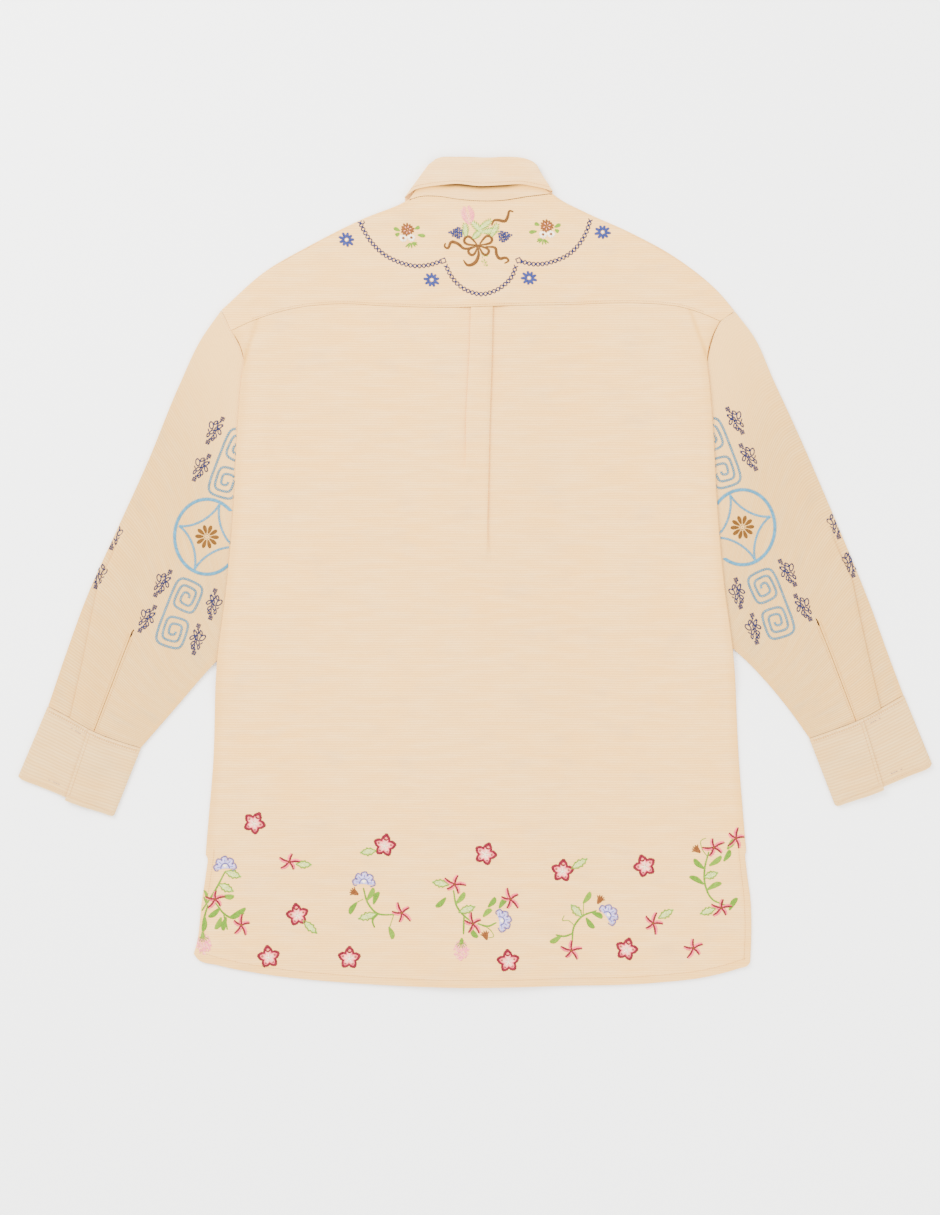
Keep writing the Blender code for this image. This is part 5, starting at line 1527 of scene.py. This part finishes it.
def yokeWork():
    work = []
    for scallop in yokeScallops:
        zigzagChain(work, smooth([at(*p) for p in scallop], 90), "navy")
    for corner in yokeCorners:
        c = at(*corner)
        box = [c + toward(a) * yokeSizes["corner"] for a in (65.0, 155.0, 245.0, 335.0, 65.0)]
        stemLine(work, box, "navy", 1.1, stitch=2.4)
    zigzagChain(work, [at(361.0, 221.0), at(354.5, 222.5)], "navy")
    for k, place in enumerate(yokeDaisies):
        c = at(*place)
        daisy(work, c, yokeSizes["daisy"], yokeSizes["petals"], "daisyBlue", yokeSizes["petal"],
              1.9, 11.0 * k)
        for angle in (0.0, 60.0, 120.0):
            sew(work, c - toward(angle) * 1.3, c + toward(angle) * 1.3, 1.3, "white", 0.35)
    bouquet(work, (407.5, 234.6), 1.0)
    bouquet(work, (546.8, 231.0), -1.0)
    openChevrons(work, at(470.0, 226.0), at(466.6, 208.5), 7.0, "palePink", 10, 0.8)
    openChevrons(work, at(471.0, 225.0), at(462.0, 211.5), 3.0, "blush", 6, 0.8)
    grapeCluster(work, at(455.4, 233.6), 176.0, 21)
    grapeCluster(work, at(505.4, 237.0), 8.0, 22)
    for base, tip in yokeBlades:
        satinLeaf(work, at(*base), at(*tip), 2.4, "leafFill", step=1.4)
        openChevrons(work, at(*base), at(*tip), 3.8, "paleGreen", 7, 0.85)
    knot = at(478.2, 246.4)
    for length, wide, turn in bowLoops:
        ribbonLine(work, bowLoop(knot, length, wide, turn), 1.5, 2.8)
    ribbonLine(work, [knot + (-3.0, 1.0), knot, knot + (3.2, 0.6)], 1.5, 2.4)
    ribbonLine(work, [knot + (-1.2, -2.2), knot, knot + (1.8, -1.8)], 1.2, 2.0)
    for points, widths in bowEnds:
        ribbonLine(work, [at(*p) for p in points], *widths)
    chance = np.random.default_rng(5)
    for number in range(22):   # loose green dashes below the bow
        p = at(484.7, 260.5) + chance.uniform(-1.0, 1.0, 2) * (3.6, 6.5)
        way = toward(90.0 + 3.5 * (p[0] - 10.5)) * 0.9
        sew(work, p - way, p + way, 0.8, "paleGreen")
    return work


# sleeves: sizes in mm, then one set of motifs along the sleeve, mirrored on the other side
sleeveSizes = {"spiral": (16.6, 19.8), "spiralTurns": 2.5, "ring": (35.0, 40.5), "ringBand": 2.0,
               "chartStep": 1.72}
sleeveMotifs = {
    "left": {"lean": 69, "hand": 1, "ring": (207.3, 536.8), "low": (180.4, 614),
             "high": (232.8, 464.5),
             "sprigs": ((215.6, 431.2), (202.1, 468.2), (163.3, 583.8), (147.8, 619.2)),
             "turnedSprigs": ((212.6, 604.4), (196, 639.5), (98, 573.5), (113.6, 534.5))},
    "right": {"lean": 111, "hand": -1, "ring": (742.2, 527.3), "low": (770, 604.5),
              "high": (716.4, 454),
              "sprigs": ((734.5, 421.2), (747.9, 457.7), (787, 573.2), (802.4, 607.9)),
              "turnedSprigs": ((738.4, 593.5), (754.6, 628.9), (851, 562), (836.4, 523.4))},
}


# a row of small crosses
def crossLine(work, points, thread, step=2.4, wide=1.4, width=1.1):
    p = resampled(points, step)
    for a, b in zip(p[:-1], p[1:]):
        way = (b - a) / max(np.linalg.norm(b - a), 1e-6)
        side = quarterTurn(way) * wide
        sew(work, a - side, b + side, width, thread)
        sew(work, a + side, b - side, width, thread, 0.1)


# two rounded-square spirals joined by the long side
def doubleSpiral(work, place, lean, hand):
    c = at(*place)
    radius, tall = sleeveSizes["spiral"]
    along, side = toward(lean), toward(lean - 90.0) * hand
    line = []
    for end in (1.0, -1.0):
        t = np.linspace(0.0, 1.0, 120)
        angle = math.pi - end * 2.0 * math.pi * sleeveSizes["spiralTurns"] * (1.0 - t)
        shrink = 0.14 + 0.86 * t
        square = (np.abs(np.cos(angle)) ** 5 + np.abs(np.sin(angle)) ** 5) ** -0.2
        square = 1.0 + 0.85 * (square - 1.0)
        x = radius * shrink * square * np.cos(angle)
        y = tall * shrink * square * np.sin(angle)
        run = [c + side * a + along * (b + end * tall * 0.98) for a, b in zip(x, y)]
        line += run if end > 0 else run[::-1]   # the second runs from its outer end inwards
    crossLine(work, line, "paleBlue")


# a ring with a four-pointed star in it and an amber flower in the middle
def medallion(work, place, lean, hand):
    c = at(*place)
    radius, tall = sleeveSizes["ring"]
    band = sleeveSizes["ringBand"]
    along, side = toward(lean), toward(lean - 90.0) * hand
    rim = resampled(around(c, radius, 0.0, 360.0, 120, tall / radius), 1.35)
    for a, b in zip(rim[:-1], rim[1:]):
        way = (b - a) / np.linalg.norm(b - a)
        out = quarterTurn(way)
        mid = 0.5 * (a + b)
        sew(work, mid - way * 1.5 - out * band, mid + way * 1.5 + out * band, 1.1, "skyBlue")
    tips = [c + along * tall * 0.93, c + side * radius * 0.93, c - along * tall * 0.93,
            c - side * radius * 0.93]
    for first, last in zip(tips, tips[1:] + tips[:1]):
        pull = c + 0.16 * (first + last - 2.0 * c)
        t = np.linspace(0.0, 1.0, 40)[:, None]
        curve = ((1 - t) ** 3 * first + 3 * t * (1 - t) ** 2 * (0.45 * first + 0.55 * pull)
                 + 3 * t * t * (1 - t) * (0.45 * last + 0.55 * pull) + t ** 3 * last)
        crossLine(work, curve, "skyBlue", 2.2, 1.25)
    for k in range(10):
        way = toward(lean + 36.0 * k)
        satinLeaf(work, c + way * 3.6, c + way * 12.6, 2.05, "amber")
    for k in range(9):
        p = c + toward(40.0 * k) * 2.6
        sew(work, p - (0.5, 0.0), p + (0.5, 0.0), 1.0, "amber")
    sew(work, c - (0.5, 0.0), c + (0.5, 0.0), 1.0, "amber")


# cross-stitch sprig as a chart, in chart steps: across, along
sprigChart = {
    "crosses": ((-2.6, -9), (-1.2, -9), (-2.6, -7.6), (-1.2, -7.6), (-1.6, -6.2),
                (0.8, 8), (2.2, 8), (0.8, 9.4), (2.2, 9.4), (1, 6.6)),
    # leaves as closed rings: middle, half length, half width, turn
    "leaves": ((-3.6, 2.4, 2.5, 1.35, 118), (-1.6, 5, 1.7, 0.9, 60),
               (1.6, 3.6, 1.9, 1, 55), (2.6, 0.4, 2, 1, 125), (0, 1.6, 1.6, 0.8, 80),
               (-1.9, -1.4, 1.9, 1, 60), (0.9, -2.8, 1.8, 0.9, 115),
               (-3.3, -3.8, 1.6, 0.8, 80), (0.3, -5.4, 1.4, 0.7, 60)),
    "dashes": ((0.4, 6, -0.2, 4), (0.2, 3.8, 0.5, 0.6), (0.5, 0.4, -0.3, -2.6),
               (-0.3, -2.8, -1.3, -5.8), (2.9, 5.6, 3.3, 4.4), (-4.6, -0.4, -3.8, -1.6)),
}


def sprig(work, place, lean, hand):
    c = at(*place)
    along, side = toward(lean), toward(lean - 90.0) * hand
    step = sleeveSizes["chartStep"]
    for x, y in sprigChart["crosses"]:
        p = c + (side * x + along * y) * step
        for angle in (45.0, 135.0):
            way = toward(lean + angle) * 1.5
            sew(work, p - way, p + way, 1.15, "sprig")
    for x, y, long, wide, turn in sprigChart["leaves"]:
        ring = around((0.0, 0.0), long * step, 0.0, 360.0, 9, wide / long, turn)
        leaf = [c + side * (x * step + a) + along * (y * step + b) for a, b in ring]
        stemLine(work, leaf, "sprig", 1.3, stitch=2.2)
    for ax, ay, bx, by in sprigChart["dashes"]:
        a = c + (side * ax + along * ay) * step
        b = c + (side * bx + along * by) * step
        stemLine(work, [a, b], "sprig", 1.2, stitch=2.4)


def sleeveWork(facts):
    work = []
    lean, hand = facts["lean"], facts["hand"]
    for key in ("low", "high"):
        doubleSpiral(work, facts[key], lean, hand)
    medallion(work, facts["ring"], lean, hand)
    for place in facts["sprigs"]:
        sprig(work, place, lean, hand)
    for place in facts["turnedSprigs"]:
        sprig(work, place, lean, -hand)
    return work


# topstitching: lockstitch in the cloth's own colour, drawn a little coarser than it is
stitchLine = {"thread": 0.42, "stitch": 2.6, "covered": 0.78, "lift": 0.1,
              "hem": 8.0, "vent": 7.0, "yokeSeam": 2.2, "fallEdge": 3.2}


def topstitch(work, points, thread="sewing", wide=1.0, stitch=None):
    p = resampled(points, stitch or stitchLine["stitch"])
    for a, b in zip(p[:-1], p[1:]):
        sew(work, a, a + stitchLine["covered"] * (b - a), stitchLine["thread"] * wide, thread,
            stitchLine["lift"])


# a line moved sideways by so many mm, to the left of its run
def beside(points, off):
    p = resampled(points, 3.0)
    return p + off * leftOf(p)


def bodySewing():
    work = []
    for line, count, off in ((hemLine[1:-1], 120, stitchLine["hem"]),
                             (bodyLeft[-7:], 40, stitchLine["vent"]),
                             (bodyRight[-7:], 40, -stitchLine["vent"])):
        topstitch(work, beside(smooth(line, count), off))
    return work


def yokeSewing():
    work = []
    topstitch(work, beside(smooth(yokeSeam[1:-1], 160), stitchLine["yokeSeam"]), "sewing", 0.9)
    # the neck seam, where the stand joins the yoke, in a wide dark amber line that also paints the
    # shadow under the collar
    topstitch(work, beside(smooth(neckBack, 90), -0.3), "amber", 1.6, 2.2)
    return work


def sleeveSewing(side):
    shape = sleeveEdges[side]
    edges = [shape[key] for key in ("armhole", "cuffSeam", "outer", "inner")]
    work = []
    hand = 1.0 if side == "left" else -1.0
    for off in (1.4, 3.6):
        topstitch(work, beside(smooth(shape["armhole"][:3], 40), -hand * off), "ecru", 0.8)
    slit = shape["slit"]
    run = np.linspace(slit[2] + 0.01, 0.985, 30)
    share = slit[0] + (slit[1] - slit[0]) * (run - slit[2]) / (1.0 - slit[2])
    topstitch(work, patch(*edges, share + 0.022, run))
    topstitch(work, patch(*edges, share - 0.022, run))
    # bar tack at the top of the slit in dark brown thread, dark as a painted shadow of the slit's
    # opening
    top = patch(*edges, slit[0] + np.array([0.0, 0.004]), slit[2] + np.array([-0.008, 0.014]))
    for off in (-0.35, 0.35):
        sew(work, top[0] + (off, 0.0), top[1] + (off, 0.0), 0.8, "slitShadowBrown", 0.2)
    return work


def cuffSewing(side):
    shape = sleeveEdges[side]
    seam, end = shape["cuffSeam"], shape["cuffEnd"]
    outer, inner = (seam[0], end[0]), (seam[-1], end[-1])
    rows = {share: patch(seam, end, outer, inner, np.linspace(0.03, 0.97, 40), np.full(40, share))
            for share in (0.035, 0.075, 0.955)}
    work = []
    topstitch(work, rows[0.035], "ecru", 1.2, 2.2)
    topstitch(work, rows[0.075], "ecru", 1.0, 2.2)
    for a, b in zip(resampled(rows[0.035], 2.6), resampled(rows[0.075], 2.6)):
        sew(work, a, b, 0.5, "sewing", 0.15)
    topstitch(work, rows[0.955])
    down = np.linspace(0.06, 0.95, 30)
    slit = shape["cuffSlit"][0] + (shape["cuffSlit"][1] - shape["cuffSlit"][0]) * down
    topstitch(work, patch(seam, end, outer, inner, slit + 0.028, down))
    # short violet grey marks by the ends of the slit
    for share, first, last in ((0.115, 0.29, 0.43), (0.87, 0.28, 0.43)):
        spots = patch(seam, end, outer, inner, np.linspace(first, last, 7), np.full(7, share))
        for k, (a, b) in enumerate(zip(spots[:-1], spots[1:])):
            if k % 2 == 0 or k == 3:
                sew(work, a, a + 0.8 * (b - a), 0.55, "violetGrey", 0.15)
    return work


def fallSewing():
    work = []
    topstitch(work, beside(smooth(fallEdgeBack[1:-1], 80), stitchLine["fallEdge"]))
    return work


# name: stitches, cloth they are sewn to, what covers it
threadPieces = {"embroidery_hem": (hemWork(), "back_panel", ()),
                "embroidery_yoke": (yokeWork(), "yoke", ("collar_fall", "back_panel"))}
for side in ("left", "right"):
    threadPieces[f"embroidery_sleeve_{side}"] = (sleeveWork(sleeveMotifs[side]), f"sleeve_{side}",
                                                 ("back_panel",))
threadPieces["sewing_back_panel"] = (bodySewing(), "back_panel", ("yoke",))
threadPieces["sewing_yoke"] = (yokeSewing(), "yoke", ("collar_fall",))
for side in ("left", "right"):
    threadPieces[f"sewing_sleeve_{side}"] = (sleeveSewing(side), f"sleeve_{side}",
                                             ("back_panel", "yoke"))
for side in ("left", "right"):
    threadPieces[f"sewing_cuff_{side}"] = (cuffSewing(side), f"cuff_{side}", (f"sleeve_{side}",))
threadPieces["sewing_collar_fall"] = (fallSewing(), "collar_fall", ())
embroidery, sewnTo = {}, {}
for seed, (name, (work, under, covers)) in enumerate(threadPieces.items(), 11):
    embroidery[name] = sewn(name, work, [pieces[under]], [pieces[other] for other in covers], seed)
    sewnTo[name] = under

# riding: the CAD parts are hidden, the cloth pieces and threads ride the root
for node, piece in pieces.items():
    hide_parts(node)
    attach(piece, "root")
for piece in embroidery.values():
    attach(piece, "root")

# floor and light
floorMesh = bpy.data.meshes.new("floor")
floorShape = bmesh.new()
bmesh.ops.create_grid(floorShape, x_segments=1, y_segments=1, size=4.0)
floorShape.to_mesh(floorMesh)
floorShape.free()
paper = startMaterial("matt_paper_white", {"Base Color": linear("#F4F4F2"), "Roughness": 0.9})
floorMesh.materials.append(paper[0])
floor = bpy.data.objects.new("floor", floorMesh)
floor.location.z = -0.0005
scene.collection.objects.link(floor)

lightTable = (
    # name, place, size, power
    ("key", (-1.6, 1.5, 1.9), 1.6, 190.0),
    ("fill", (1.8, -0.6, 2.2), 2.2, 80.0),
)
for name, place, size, power in lightTable:
    lamp = bpy.data.lights.new(name, "AREA")
    lamp.shape = "SQUARE"
    lamp.size = size
    lamp.energy = power
    holder = bpy.data.objects.new(name, lamp)
    holder.location = place
    holder.rotation_euler = (-Vector(place)).to_track_quat("-Z", "Y").to_euler()
    scene.collection.objects.link(holder)
world = bpy.data.worlds.new("soft")
world.use_nodes = True
world.node_tree.nodes["Background"].inputs[0].default_value = linear("#FFFFFF")
world.node_tree.nodes["Background"].inputs[1].default_value = 3.2
scene.world = world
print("floor and", len(lightTable), "lamps")
